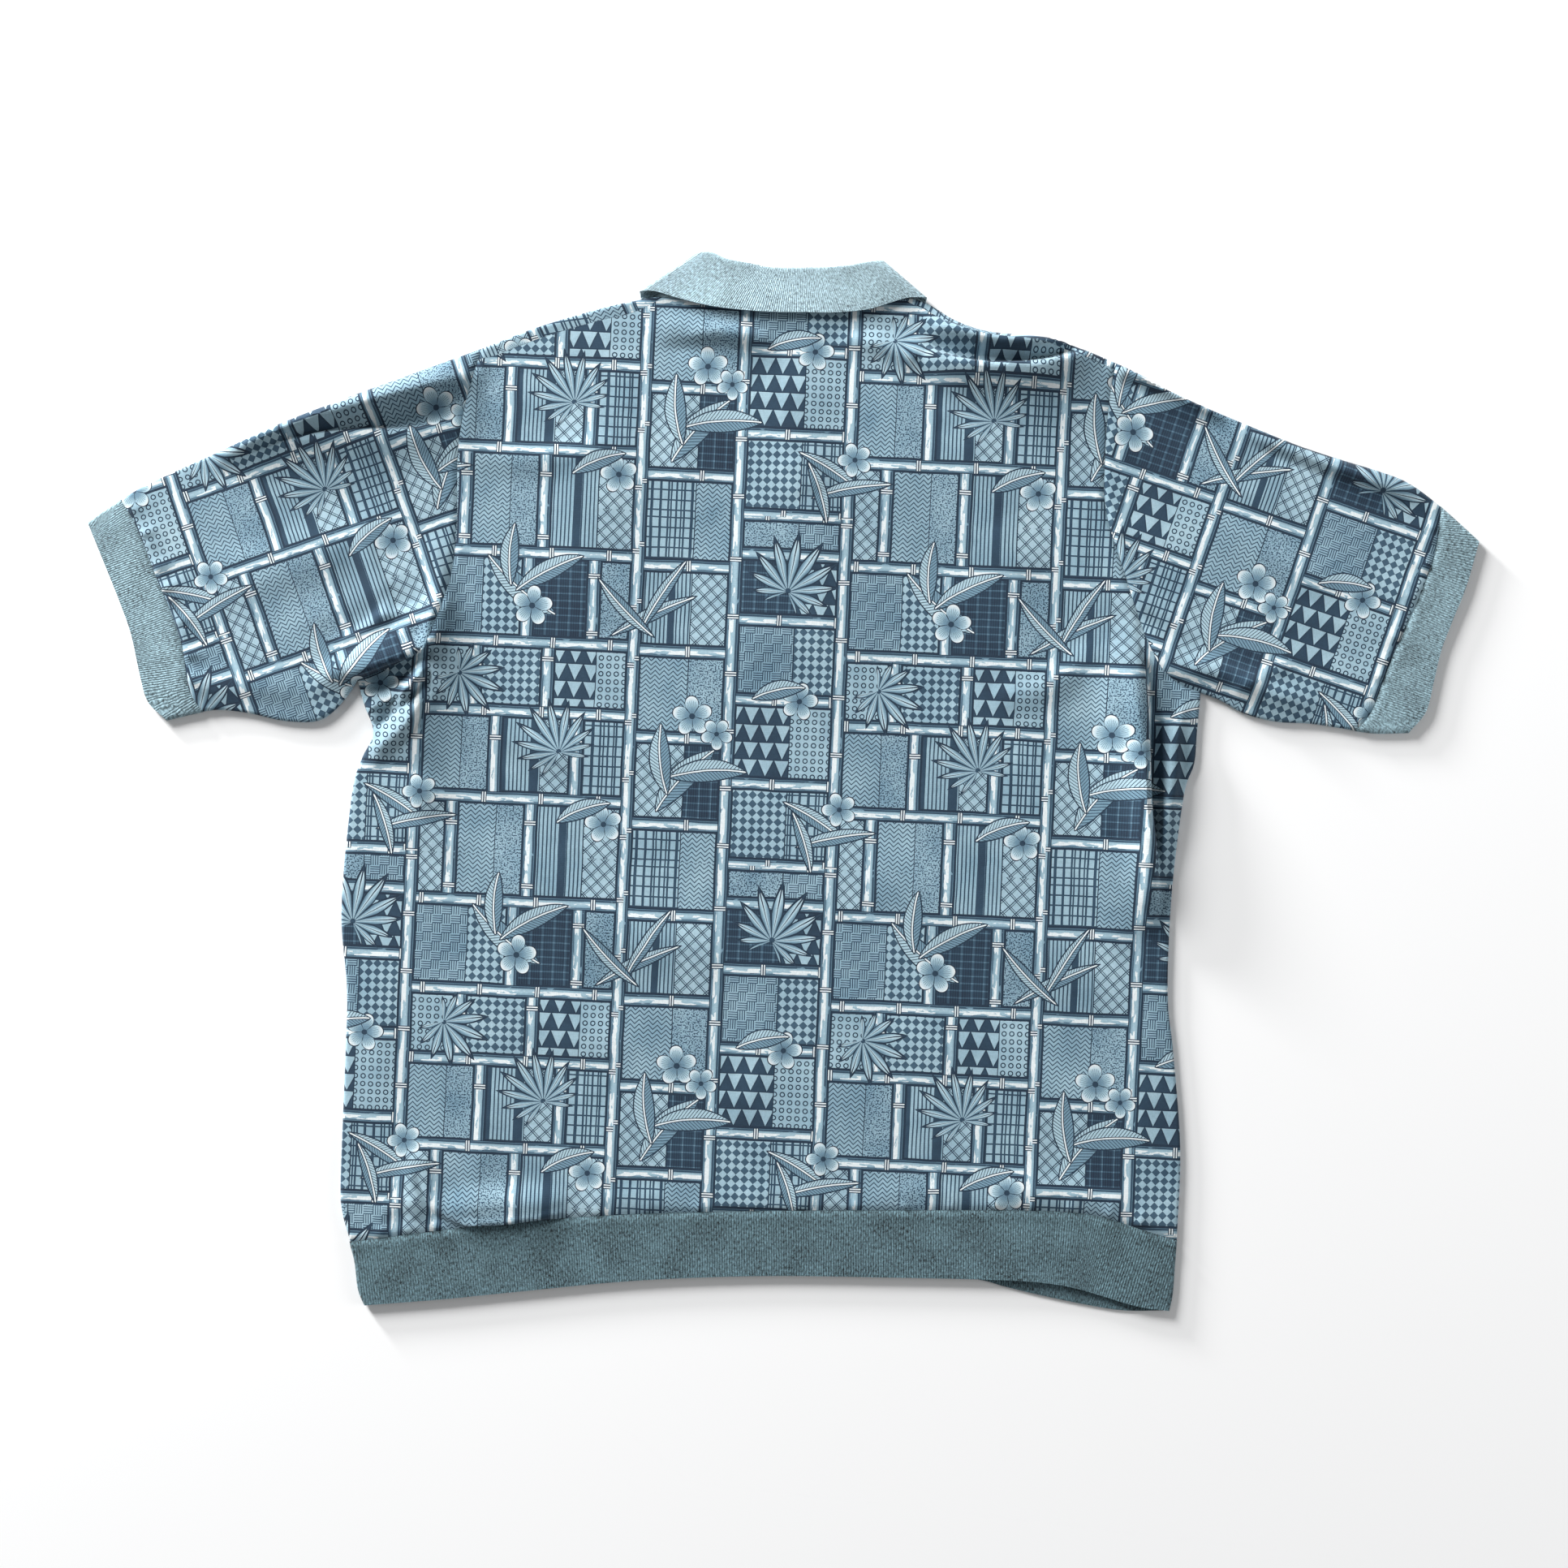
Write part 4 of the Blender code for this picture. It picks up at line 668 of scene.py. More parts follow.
def layer(loop, level, step, grain):
    """A sheet's part in one layer: the upper faces up and the lower down. Its grain gives the cloth's own map."""
    plan, cells = fill(loop, step)
    if level is lower:
        cells = cells[:, ::-1]
    return level(plan), [tuple(c) for c in cells.tolist()], grain(plan)


def key_of(point):
    """A point's name for joining: its place to a hundredth of a millimetre."""
    return tuple(np.round(point, 2) + 0.0)


class Piece:
    """A sheet: the points of its middle surface, its cells and the cloth's own map at each corner."""

    def __init__(self, name, materials, parts, thick=CLOTH, gap=SEAM_GAP):
        self.name, self.materials, self.thick, self.gap = name, materials, thick, gap
        number, kept, self.cells, self.maps = {}, [], [], []
        for points, cells, grain in parts:
            index = []
            for point in points:
                key = key_of(point)
                if key not in number:
                    number[key] = len(kept)
                    kept.append(point)
                index.append(number[key])
            for cell in cells:
                corners = tuple(index[k] for k in cell)
                if len(set(corners)) == len(corners):
                    self.cells.append(corners)
                    self.maps.append([grain[k] for k in cell])
        self.points = np.array(kept)

    def normals(self):
        """Each point's normal, from its cells by their angle there."""
        total = np.zeros_like(self.points)
        for size in {len(cell) for cell in self.cells}:
            cells = np.array([cell for cell in self.cells if len(cell) == size])
            corners = self.points[cells]
            way = unit(np.cross(corners[:, 2] - corners[:, 0], corners[:, -1] - corners[:, 1]) + 1e-12)
            ahead = unit(np.roll(corners, -1, axis=1) - corners)
            behind = unit(np.roll(corners, 1, axis=1) - corners)
            angle = np.arccos(np.clip((ahead * behind).sum(axis=2), -1, 1))
            for k in range(size):
                np.add.at(total, cells[:, k], angle[:, k : k + 1] * way)
        return total

    def border(self):
        """The border's edges, each with the number of its cell."""
        owner = {}
        for number, cell in enumerate(self.cells):
            for a, b in zip(cell, cell[1:] + cell[:1]):
                owner[(a, b)] = number
        return {edge: cell for edge, cell in owner.items() if edge[::-1] not in owner}

    def opened(self, by):
        """The points, with those of the border drawn in by this much along the sheet."""
        ways = {}
        for (a, b), number in self.border().items():
            edge = unit(self.points[b] - self.points[a])
            inner = self.points[list(self.cells[number])].mean(axis=0) - self.points[a]
            inner = unit(inner - edge * (inner @ edge))
            ways.setdefault(a, []).append(inner)
            ways.setdefault(b, []).append(inner)
        out = self.points.copy()
        for k, found in ways.items():
            out[k] += np.sum(found, axis=0) * by / max(0.5, 1 + found[0] @ found[-1])
        return out


# ---------------------------------------------------------------- walls


def build_walls(pieces):
    """Makes each sheet a closed wall. Sheets that meet at a seam share their normals there."""
    shared = {}
    for piece in pieces:
        for point, way in zip(piece.points, piece.normals()):
            shared[key_of(point)] = shared.get(key_of(point), 0) + way
    made = {}
    for piece in pieces:
        ways = unit(np.array([shared[key_of(point)] for point in piece.points]))
        points = piece.opened(piece.gap / 2)
        count = len(points)
        verts = np.vstack([points + ways * piece.thick / 2, points - ways * piece.thick / 2])
        verts[:, 2] = np.maximum(verts[:, 2], 0.02)
        faces, maps = list(piece.cells), list(piece.maps)
        faces += [tuple(k + count for k in reversed(cell)) for cell in piece.cells]
        maps += [corners[::-1] for corners in piece.maps]
        kinds = [0] * len(piece.cells) + [1] * len(piece.cells)
        for (a, b), number in piece.border().items():
            cell, corners = piece.cells[number], piece.maps[number]
            at_a, at_b = corners[cell.index(a)], corners[cell.index(b)]
            faces.append((b, a, a + count, b + count))
            maps.append([at_b, at_a, at_a, at_b])
            kinds.append(1)
        made[piece.name] = add_object(piece.name, verts, faces, piece.materials, maps, kinds)
    return made


def add_object(name, verts, faces, materials, maps=None, kinds=None, angle=50):
    """A finished mesh object in metres, at the origin."""
    mesh = bpy.data.meshes.new(name)
    mesh.from_pydata(((np.asarray(verts) - MIDDLE) * MM).tolist(), [], faces)
    for material in materials:
        mesh.materials.append(material)
    if kinds is not None:
        mesh.polygons.foreach_set("material_index", kinds)
    if maps is not None:
        cloth_map = mesh.uv_layers.new(name="Cloth")
        cloth_map.data.foreach_set("uv", np.array([uv for corners in maps for uv in corners], float).ravel())
    mesh.shade_smooth()
    mesh.set_sharp_from_angle(angle=math.radians(angle))
    obj = bpy.data.objects.new(name, mesh)
    bpy.context.scene.collection.objects.link(obj)
    return obj


# ---------------------------------------------------------------- seams that the pieces share


class Side:
    """One side's lines, each as stations: the left side is 0 and the right side 1."""

    def __init__(self, side):
        top, under, flank, band, armhole, cuff, mouth = (
            (TOP_LEFT, UNDER_LEFT, SIDE_LEFT, BAND_LEFT, ARMHOLE_LEFT, CUFF_SEAM_LEFT, CUFF_MOUTH_LEFT),
            (TOP_RIGHT, UNDER_RIGHT, SIDE_RIGHT, BAND_RIGHT, ARMHOLE_RIGHT, CUFF_SEAM_RIGHT, CUFF_MOUTH_RIGHT),
        )[side]
        wrap = SHOULDER_WRAP[side]
        self.top = smooth(top)
        shoulder, sleeve_top = split(self.top, armhole[-1])
        tip = shoulder[-1]
        self.shoulder = shoulder
        self.flank = stations(smooth(flank), RIM)
        self.band = stations(smooth(band), RIM)

        arm = np.vstack([smooth(armhole)[:-1], tip])
        whole = lengths(arm)[-1]
        inner = at_length(arm, np.linspace(0, whole - wrap, 80))
        far = lengths(stations(inner, RIM, (True, False)))
        rest = [whole - wrap * share for share in (1, 0.75, 0.5)] + [whole - r for r in ROLL_AT[::-1]] + [whole]
        rest = [f for f in rest if f > whole - wrap - 1e-9]
        far = np.concatenate([far[:-1], rest])
        self.wrap_from = len(rest)
        self.arm = at_length(arm, far)
        self.front_arm = self.arm.copy()
        self.front_arm[:, 0] -= np.sign(tip[0]) * FRONT_SCOOP * np.sin(math.pi * far / whole)

        self.fold = stations(shoulder, RIM)  # neck to tip
        seam = shoulder_seam(shoulder, wrap)
        neck = smooth(BACK_NECK) if side == 0 else smooth(BACK_NECK)[::-1]
        self.neck_end = at_length(neck, np.array([0, NECK_WRAP]))
        seam = np.vstack([self.neck_end[-1], seam[2:-2], self.arm[-self.wrap_from]])
        self.seam = stations(seam, RIM)

        top_sleeve, top_cuff = split(np.vstack([tip, sleeve_top[1:]]), cuff[0])
        under_sleeve, under_cuff = split(smooth(under), cuff[-1])
        cuff = np.vstack([under_sleeve[-1], smooth(cuff)[1:-1][::-1], top_sleeve[-1]])
        self.sleeve_top, self.sleeve_under = stations(top_sleeve, RIM), stations(under_sleeve, RIM)
        self.cuff_top, self.cuff_under = stations(top_cuff, RIM), stations(under_cuff, RIM)
        self.cuff = stations(cuff, RIM, (True, True))
        self.mouth = stations(smooth(mouth)[::-1], RIM, (True, True))


def shoulder_seam(line, wrap):
    """The line on the upper layer as far in from the shoulder's folded edge as the front comes over."""
    away = unit(np.gradient(line, axis=0))
    inward = np.stack([away[:, 1], -away[:, 0]], axis=1)
    inward[inward[:, 1] > 0] *= -1
    far = NECK_WRAP + (wrap - NECK_WRAP) * smoothstep(0, 22, lengths(line))
    return line + inward * far[:, None]


# ---------------------------------------------------------------- the cloth's own maps, in metres along its grain


def grain(angle, over=None, flip=False):
    """A map turned by an angle in degrees. Cloth that goes on under a folded edge is laid out beyond that line."""
    c, s = math.cos(math.radians(angle)), math.sin(math.radians(angle))

    def turn(plan):
        return np.column_stack([plan[:, 0] * c - plan[:, 1] * s, plan[:, 0] * s + plan[:, 1] * c])

    def place(plan):
        uv = turn(plan)
        if over is not None:
            edge = turn(over)
            edge = edge[edge[:, 0].argsort()]
            uv[:, 1] = 2 * np.interp(uv[:, 0], edge[:, 0], edge[:, 1]) - uv[:, 1]
        if flip:
            uv[:, 0] = -uv[:, 0]
        return uv * MM

    return place


def band_map(line):
    """A rib's map: along its seam, and out from it."""
    line = run_on(line, True, True)

    def place(plan):
        far, left, along = along_line(plan[:, 0], plan[:, 1], line)
        return np.column_stack([along, far * np.sign(left)]) * MM

    return place


# ---------------------------------------------------------------- pieces


def back_piece(cloth, left, right, hem, neck):
    """The back: the whole upper layer of the body."""
    loop = loop_of(
        hem, right.flank, right.arm[: 1 - right.wrap_from], right.seam[::-1], neck[::-1], left.seam,
        left.arm[: 1 - left.wrap_from][::-1], left.flank[::-1],
    )
    return Piece("back_body_cloth", cloth, [layer(loop, upper, FINE, grain(2.6))])


def front_piece(cloth, left, right, hem, necks, slot):
    """The front: the lower layer, and its strips over the shoulders."""
    loop = loop_of(
        hem, right.flank, right.front_arm, right.fold[::-1], necks[1], slot,
        necks[0][::-1], left.fold, left.front_arm[::-1], left.flank[::-1],
    )
    parts = [layer(loop, lower, COARSE, grain(-2.6, flip=True))]
    for side, angle in ((left, -24), (right, 20)):
        strip = loop_of(side.fold[::-1], side.neck_end, side.seam, side.arm[-side.wrap_from :])
        parts.append(layer(strip, upper, FINE, grain(angle, side.shoulder)))
    return Piece("front_body_cloth", cloth, parts)


def tube_pieces(name, cloth, rib, side, angle):
    """A sleeve and its cuff, each of two layers joined along both folded edges."""
    made = []
    for kind, stuff, lines, thick in (
        ("sleeve", cloth, ((side.arm, side.front_arm), side.sleeve_top, side.cuff, side.sleeve_under), CLOTH),
        ("cuff", rib, ((side.cuff, side.cuff), side.cuff_top, side.mouth, side.cuff_under), RIB_CLOTH),
    ):
        starts, top, end, under = lines
        parts = []
        for start, level in zip(starts, (upper, lower)):
            loop = loop_of(start, top, end[::-1], under[::-1])
            if kind == "sleeve":
                place = grain(angle) if level is upper else grain(angle, side.top)
            else:
                place = band_map(side.cuff)
            parts.append(layer(loop, level, FINE if level is upper else COARSE, place))
        made.append(Piece(f"{kind}_{name}_cloth", stuff, parts, thick))
    return made


def band_piece(rib, left, right, hem):
    """The hem band: one ring of rib in both layers."""
    parts = []
    for edge, level in ((HEM_EDGE_BACK, upper), (HEM_EDGE_FRONT, lower)):
        edge = stations(smooth(edge), RIM, (True, True))
        loop = loop_of(edge, right.band[::-1], hem[::-1], left.band)
        parts.append(layer(loop, level, FINE if level is upper else 7.0, band_map(hem)))
    return Piece("hem_band_cloth", rib, parts, RIB_CLOTH)


def placket_pieces(cloth, slot):
    """The strip that shows, in the front's slot, and the strip under it, nearer the body."""
    count = len(SLOT_AT)
    right_edge, left_edge = slot[:count][::-1], slot[-count:]
    across = np.linspace(0, 1, 9)[None, :, None]
    plan = left_edge[:, None] * (1 - across) + right_edge[:, None] * across
    rows, columns = plan.shape[:2]
    cells = [
        (i * columns + j, (i + 1) * columns + j, (i + 1) * columns + j + 1, i * columns + j + 1)
        for i in range(rows - 1) for j in range(columns - 1)
    ]
    plan = plan.reshape(-1, 2)
    flat = lower(plan)
    under = flat.copy()
    under[:, 0] = PLACKET_X + (under[:, 0] - PLACKET_X) * 0.9
    under[:, 1] = PLACKET_FOOT + (under[:, 1] - PLACKET_FOOT) * 0.97
    under[:, 2] += (SOLID_WALL + PLACKET_CLOTH) / 2 + LAYER_GAP
    place = grain(-2.6, flip=True)(plan)
    return [
        Piece("placket_top_cloth", cloth, [(flat, cells, place)], PLACKET_CLOTH),
        Piece("placket_under_cloth", cloth, [(under, cells, place)], PLACKET_CLOTH),
    ]


def neck_stations(line):
    """A front neckline from the shoulder down, with the close stations that the collar's turn needs."""
    line = smooth(line)
    ends = np.array([0, *ROLL_AT, NECK_WRAP])
    rest = np.linspace(NECK_WRAP, lengths(line)[-1], round(lengths(line)[-1] / RIM) + 1)[1:]
    return at_length(line, np.concatenate([ends, rest]))


def slot_stations():
    """Down the slot's right edge, across its foot and up its left edge."""
    top = FRONT_NECK_LEFT[-1][1]
    low, high = PLACKET_X - PLACKET_WIDTH / 2, PLACKET_X + PLACKET_WIDTH / 2
    heights = [top + (PLACKET_FOOT - top) * share for share in SLOT_AT]
    foot = [(low + (high - low) * share, PLACKET_FOOT) for share in np.linspace(1, 0, 9)[1:-1]]
    return np.array([*[(high, y) for y in heights], *foot, *[(low, y) for y in heights[::-1]]], float)


# ---------------------------------------------------------------- collar


def collar_piece(rib, neck, necks, left, right):
    """The collar, from one front end round the back of the neck to the other: up the stand and down the leaf."""
    half = LOFT / 2
    level = SOLID_WALL / 2 + COLLAR_RISE + half
    back = upper(neck)
    ends_at = (0, 0.04, 0.12, 0.25, 0.5, 0.75, 1)
    wrap_left, wrap_right = (at_share(upper(side.neck_end), ends_at) for side in (left, right))
    low_left, low_right = lower(necks[0])[::-1], lower(necks[1])
    ends = lower(np.array([[PLACKET_X - 1.5, necks[0][-1, 1]], [PLACKET_X + 1.5, necks[1][-1, 1]]]))
    seam = np.vstack([
        ends[:1], low_left[:-1], wrap_left, back[1:-1], wrap_right[::-1], low_right[1:], ends[1:],
    ])
    n_left, n_right, n_roll = len(low_left), len(low_right), len(wrap_left)

    def line_at(back_line, left_line, right_line, depth):
        """Plan points of one of the collar's lines, and how each has turned: 1 on the upper layer, -1 on the lower."""
        back_line = smooth(back_line)
        whole = lengths(back_line)[-1]
        roll = np.array([*[depth * share for share in np.linspace(0, 1, n_roll - 1) ** 2], depth + 2.2])
        inner = lengths(neck)[1:-1] / lengths(neck)[-1]
        far = np.concatenate([roll, roll[-1] + (whole - 2 * roll[-1]) * inner, whole - roll[::-1]])
        plans, turns = [at_length(back_line, far)], [turn_at(np.minimum(far, whole - far), depth)]
        for line, low, order in ((left_line, seam[:n_left][::-1], -1), (right_line, seam[-n_right:], 1)):
            line = smooth(line)
            low_roll = np.array([depth * 0.12, depth * 0.3, depth * 0.6, depth, depth + 2.2])
            rest = lengths(low[4:, :2])[1:] / lengths(low[4:, :2])[-1]
            low_far = np.concatenate([low_roll, low_roll[-1] + (lengths(line)[-1] - low_roll[-1]) * rest])
            plans.insert(0 if order < 0 else len(plans), at_length(line, low_far)[::order])
            turns.insert(0 if order < 0 else len(turns), -turn_at(low_far, depth)[::order])
        return np.vstack(plans), np.concatenate(turns)

    fold, fold_turn = line_at(FOLD_BACK, FOLD_FRONT_LEFT, FOLD_FRONT_RIGHT, half + LEAF_DROP / 2)
    edge, edge_turn = line_at(EDGE_BACK, EDGE_FRONT_LEFT, EDGE_FRONT_RIGHT, half + LEAF_DROP)
    seam_turn = np.clip((seam[:, 2] - level) / half, -1, 1)
    radius = LEAF_DROP / 2
    stand_way, leaf_way = unit(fold - seam[:, :2]), unit(fold - edge)
    outward = np.where(
        seam[:, :1] < 0, sideways(seam[n_left], fold[n_left]), -sideways(seam[-n_right - 1], fold[-n_right - 1])
    )

    def row(plan, turn, out, share=1.0):
        """Points that far out from the stand, in radii of the fold: sideways where the collar turns, else upwards."""
        shift = outward * (np.sqrt(1 - turn**2) * radius * (out - 1) * share)[:, None]
        return np.column_stack([plan + shift, level + turn * (half + radius * out)])

    rows = [seam]
    for share in np.linspace(0, 1, 8)[1:-1]:
        plan = seam[:, :2] * (1 - share) + (fold - stand_way * radius) * share
        points = row(plan, seam_turn * (1 - share) + fold_turn * share, 0, share)
        points[:, 2] += (seam[:, 2] - (level + half * seam_turn)) * (1 - share)
        rows.append(points)
    for turn in np.linspace(0, math.pi, 9):
        way = stand_way if turn < math.pi / 2 else leaf_way
        rows.append(row(fold - way * radius * (1 - math.sin(turn)), fold_turn, 1 - math.cos(turn)))
    for share in np.linspace(0, 1, 15)[1:]:
        plan = (fold - leaf_way * radius) * (1 - share) + edge * share
        turn = fold_turn * (1 - share) + edge_turn * share
        points = row(plan, turn, 2, 1 - share)
        raised = np.maximum(loft(plan[:, 0], plan[:, 1]) - LOFT, 0) + COLLAR_LIFT * share**2 * lifted(plan)
        points[:, 2] += np.where(turn > 0, raised * turn, 0)
        rows.append(points)
    columns = len(seam)
    cells = [
        (i * columns + j, i * columns + j + 1, (i + 1) * columns + j + 1, (i + 1) * columns + j)
        for i in range(len(rows) - 1) for j in range(columns - 1)
    ]
    grid = np.array(rows)
    across = np.vstack([np.zeros(columns), np.cumsum(np.linalg.norm(np.diff(grid, axis=0), axis=2), axis=0)])
    along = (lengths(seam) + lengths(grid[-1])) / 2
    place = np.stack([np.broadcast_to(along, across.shape), across], axis=2).reshape(-1, 2) * MM
    return Piece("collar_cloth", rib, [(np.vstack(rows), cells, place)], RIB_CLOTH, gap=COLLAR_SEAM_GAP)


def sideways(a, b):
    """The direction to the left of the way from a to b."""
    way = unit(b - a[:2])
    return np.array([-way[1], way[0]])


def turn_at(far, depth):
    """A quarter circle's rise: 0 at the fold, 1 at its depth."""
    return np.sqrt(1 - np.clip(1 - far / depth, 0, 1) ** 2)


def lifted(plan):
    """How far the leaf's free edge stands off the back: most in the middle, not at all at its ends."""
    return 1 - smoothstep(55, 95, np.abs(plan[:, 0]))


# ---------------------------------------------------------------- patterns as node groups


class Term:
    """A number on its way through a node tree, so that a pattern can be written down as a sum."""

    def __init__(self, tree, socket):
        self.tree, self.socket = tree, socket

    def do(self, kind, *others):
        node = self.tree.nodes.new("ShaderNodeMath")
        node.operation = kind
        plug(self.tree, node.inputs, (self, *others))
        return Term(self.tree, node.outputs[0])

    def __add__(self, other):
        return self.do("ADD", other)

    def __sub__(self, other):
        return self.do("SUBTRACT", other)

    def __mul__(self, other):
        return self.do("MULTIPLY", other)

    def __truediv__(self, other):
        return self.do("DIVIDE", other)

    def __mod__(self, other):
        return self.do("FLOORED_MODULO", other)

    def __lt__(self, other):
        return self.do("LESS_THAN", other)

    def __gt__(self, other):
        return self.do("GREATER_THAN", other)

    def __abs__(self):
        return self.do("ABSOLUTE")

    def __and__(self, other):
        return self.do("MINIMUM", other)

    def __or__(self, other):
        return self.do("MAXIMUM", other)

    def floor(self):
        return self.do("FLOOR")

    def near(self, value, by):
        return self.do("COMPARE", value, by)

    def paint(self, tone, where):
        """This tone with another painted over it."""
        node = self.tree.nodes.new("ShaderNodeMix")
        plug(self.tree, (node.inputs[0], node.inputs[2], node.inputs[3]), (where, self, tone))
        return Term(self.tree, node.outputs[0])


def plug(tree, sockets, values):
    """Gives each socket its value, or links it to a term."""
    for socket, value in zip(sockets, values):
        if isinstance(value, Term):
            tree.links.new(value.socket, socket)
        elif value is not None:
            socket.default_value = value


def new_group(name, takes, gives):
    """A node group with named inputs (kind, label, default) and outputs. Returns it, its inputs and a way to end it."""
    tree = bpy.data.node_groups.new(name, "ShaderNodeTree")
    for kind, label, default in takes:
        socket = tree.interface.new_socket(label, in_out="INPUT", socket_type=f"NodeSocket{kind}")
        if default is not None:
            socket.default_value = default
    for kind, label in gives:
        tree.interface.new_socket(label, in_out="OUTPUT", socket_type=f"NodeSocket{kind}")
    start, end = tree.nodes.new("NodeGroupInput"), tree.nodes.new("NodeGroupOutput")
    return tree, [Term(tree, start.outputs[label]) for _, label, _ in takes], lambda *out: plug(tree, end.inputs, out)


def use(tree, group, *values):
    """Places a group in a tree and returns its outputs."""
    node = tree.nodes.new("ShaderNodeGroup")
    node.node_tree = group
    plug(tree, node.inputs, values)
    return [Term(tree, socket) for socket in node.outputs]


def noise(tree, place, scale, detail=2.0, rough=0.5):
    """A noise term."""
    node = tree.nodes.new("ShaderNodeTexNoise")
    sockets = [node.inputs[label] for label in ("Vector", "Scale", "Detail", "Roughness")]
    plug(tree, sockets, (place, scale, detail, rough))
    return Term(tree, node.outputs[0])


def ramp(tree, value, stops, steps=False):
    """A colour ramp over a value, soft or in steps."""
    node = tree.nodes.new("ShaderNodeValToRGB")
    node.color_ramp.interpolation = "CONSTANT" if steps else "LINEAR"
    while len(node.color_ramp.elements) < len(stops):
        node.color_ramp.elements.new(1.0)
    for element, (at, colour) in zip(node.color_ramp.elements, sorted(stops)):
        element.position = at
        element.color = (*colour, 1)
    plug(tree, node.inputs, (value,))
    return Term(tree, node.outputs[0])


def apart(tree, colour, kind="ShaderNodeSeparateColor"):
    """A colour's or vector's three parts."""
    node = tree.nodes.new(kind)
    plug(tree, node.inputs, (colour,))
    return [Term(tree, socket) for socket in node.outputs[:3]]


def together(tree, *values, kind="ShaderNodeCombineXYZ"):
    """Three values as one vector or colour."""
    node = tree.nodes.new(kind)
    plug(tree, node.inputs, values)
    return Term(tree, node.outputs[0])


REPEAT_X, REPEAT_Y = 300.0, 250.0  # the print's repeat, in millimetres
ROD = 4.6  # half a printed rod's width


def motif(name, extra):
    """The start of a motif's group: the print's place, moved to the motif and turned along it."""
    tree, (x, y, cx, cy, turn, size, wide), end = new_group(
        name,
        [("Float", "X", 0.0), ("Float", "Y", 0.0), ("Float", "Centre X", 0.0), ("Float", "Centre Y", 0.0),
         ("Float", "Turn", 0.0), ("Float", "Length", 60.0), ("Float", extra, 12.0)],
        [("Float", "Inside"), ("Float", "Tone")],
    )
    x = (x - cx).do("WRAP", REPEAT_X / 2, -REPEAT_X / 2)
    y = (y - cy).do("WRAP", REPEAT_Y / 2, -REPEAT_Y / 2)
    c, s = turn.do("COSINE"), turn.do("SINE")
    return tree, x * c + y * s, y * c - x * s, size, wide, end


def long_leaf():
    """A long smooth leaf with a pale midrib and slanting veins."""
    tree, p, q, size, wide, end = motif("Long leaf", "Half width")
    t = ((p / size + 0.5) | -0.04) & 1.04
    q = q + (t - 0.4) * (t - 0.4) * wide * 1.6
    half = wide * (((t * math.pi).do("SINE") | 0.0).do("POWER", 0.75))
    off = abs(q)
    tone = (q > 0) * 0.24 + 0.62
    tone = tone.paint(0.12, ((p - off * 0.9) / (wide * 0.13 + 1.5)) % 1.0 < 0.24)
    tone = tone.paint(1.0, off < 0.5)
    tone = tone.paint(0.06, off.near(0.8, 0.3) | (off > half - 0.95))
    end(off < half, tone)
    return tree


def fan_leaf():
    """A fan palm's leaf, with pointed pleats round its stalk."""
    tree, p, q, size, spread, end = motif("Fan leaf", "Pleats")
    r = (p * p + q * q).do("SQRT")
    angle = q.do("ARCTAN2", p)
    off = abs(((angle * spread) % 1.0) - 0.5) * 2.0
    share = r / (size * (angle.do("COSINE") * 0.3 + 0.7))
    room = ((share - 0.45) | 0.0) * -1.8 + 1.0
    tone = (off * -0.62 + 0.96).paint(0.04, off > room - 0.2)
    tone = tone.paint(0.12, off < 0.07)
    tone = tone.paint(0.2, share < 0.06)
    end((off < room) & (share < 1.0) & (abs(angle) < 2.35), tone)
    return tree


def blossom():
    """A five-petalled flower."""
    tree, p, q, size, _, end = motif("Blossom", "Unused")
    r = (p * p + q * q).do("SQRT")
    angle = q.do("ARCTAN2", p)
    petal = abs((angle * 2.5).do("COSINE")).do("POWER", 0.55)
    reach = size * (petal * 0.62 + 0.38)
    tone = (r / size) * 0.6 + 0.45
    tone = tone.paint(0.2, ((angle * 7.2) % 1.0 < 0.16) & (r < reach * 0.75))
    tone = tone.paint(0.03, (r > reach - 0.8) | (petal < 0.3))
    tone = tone.paint(0.12, r < size * 0.14)
    end(r < reach, tone)
    return tree


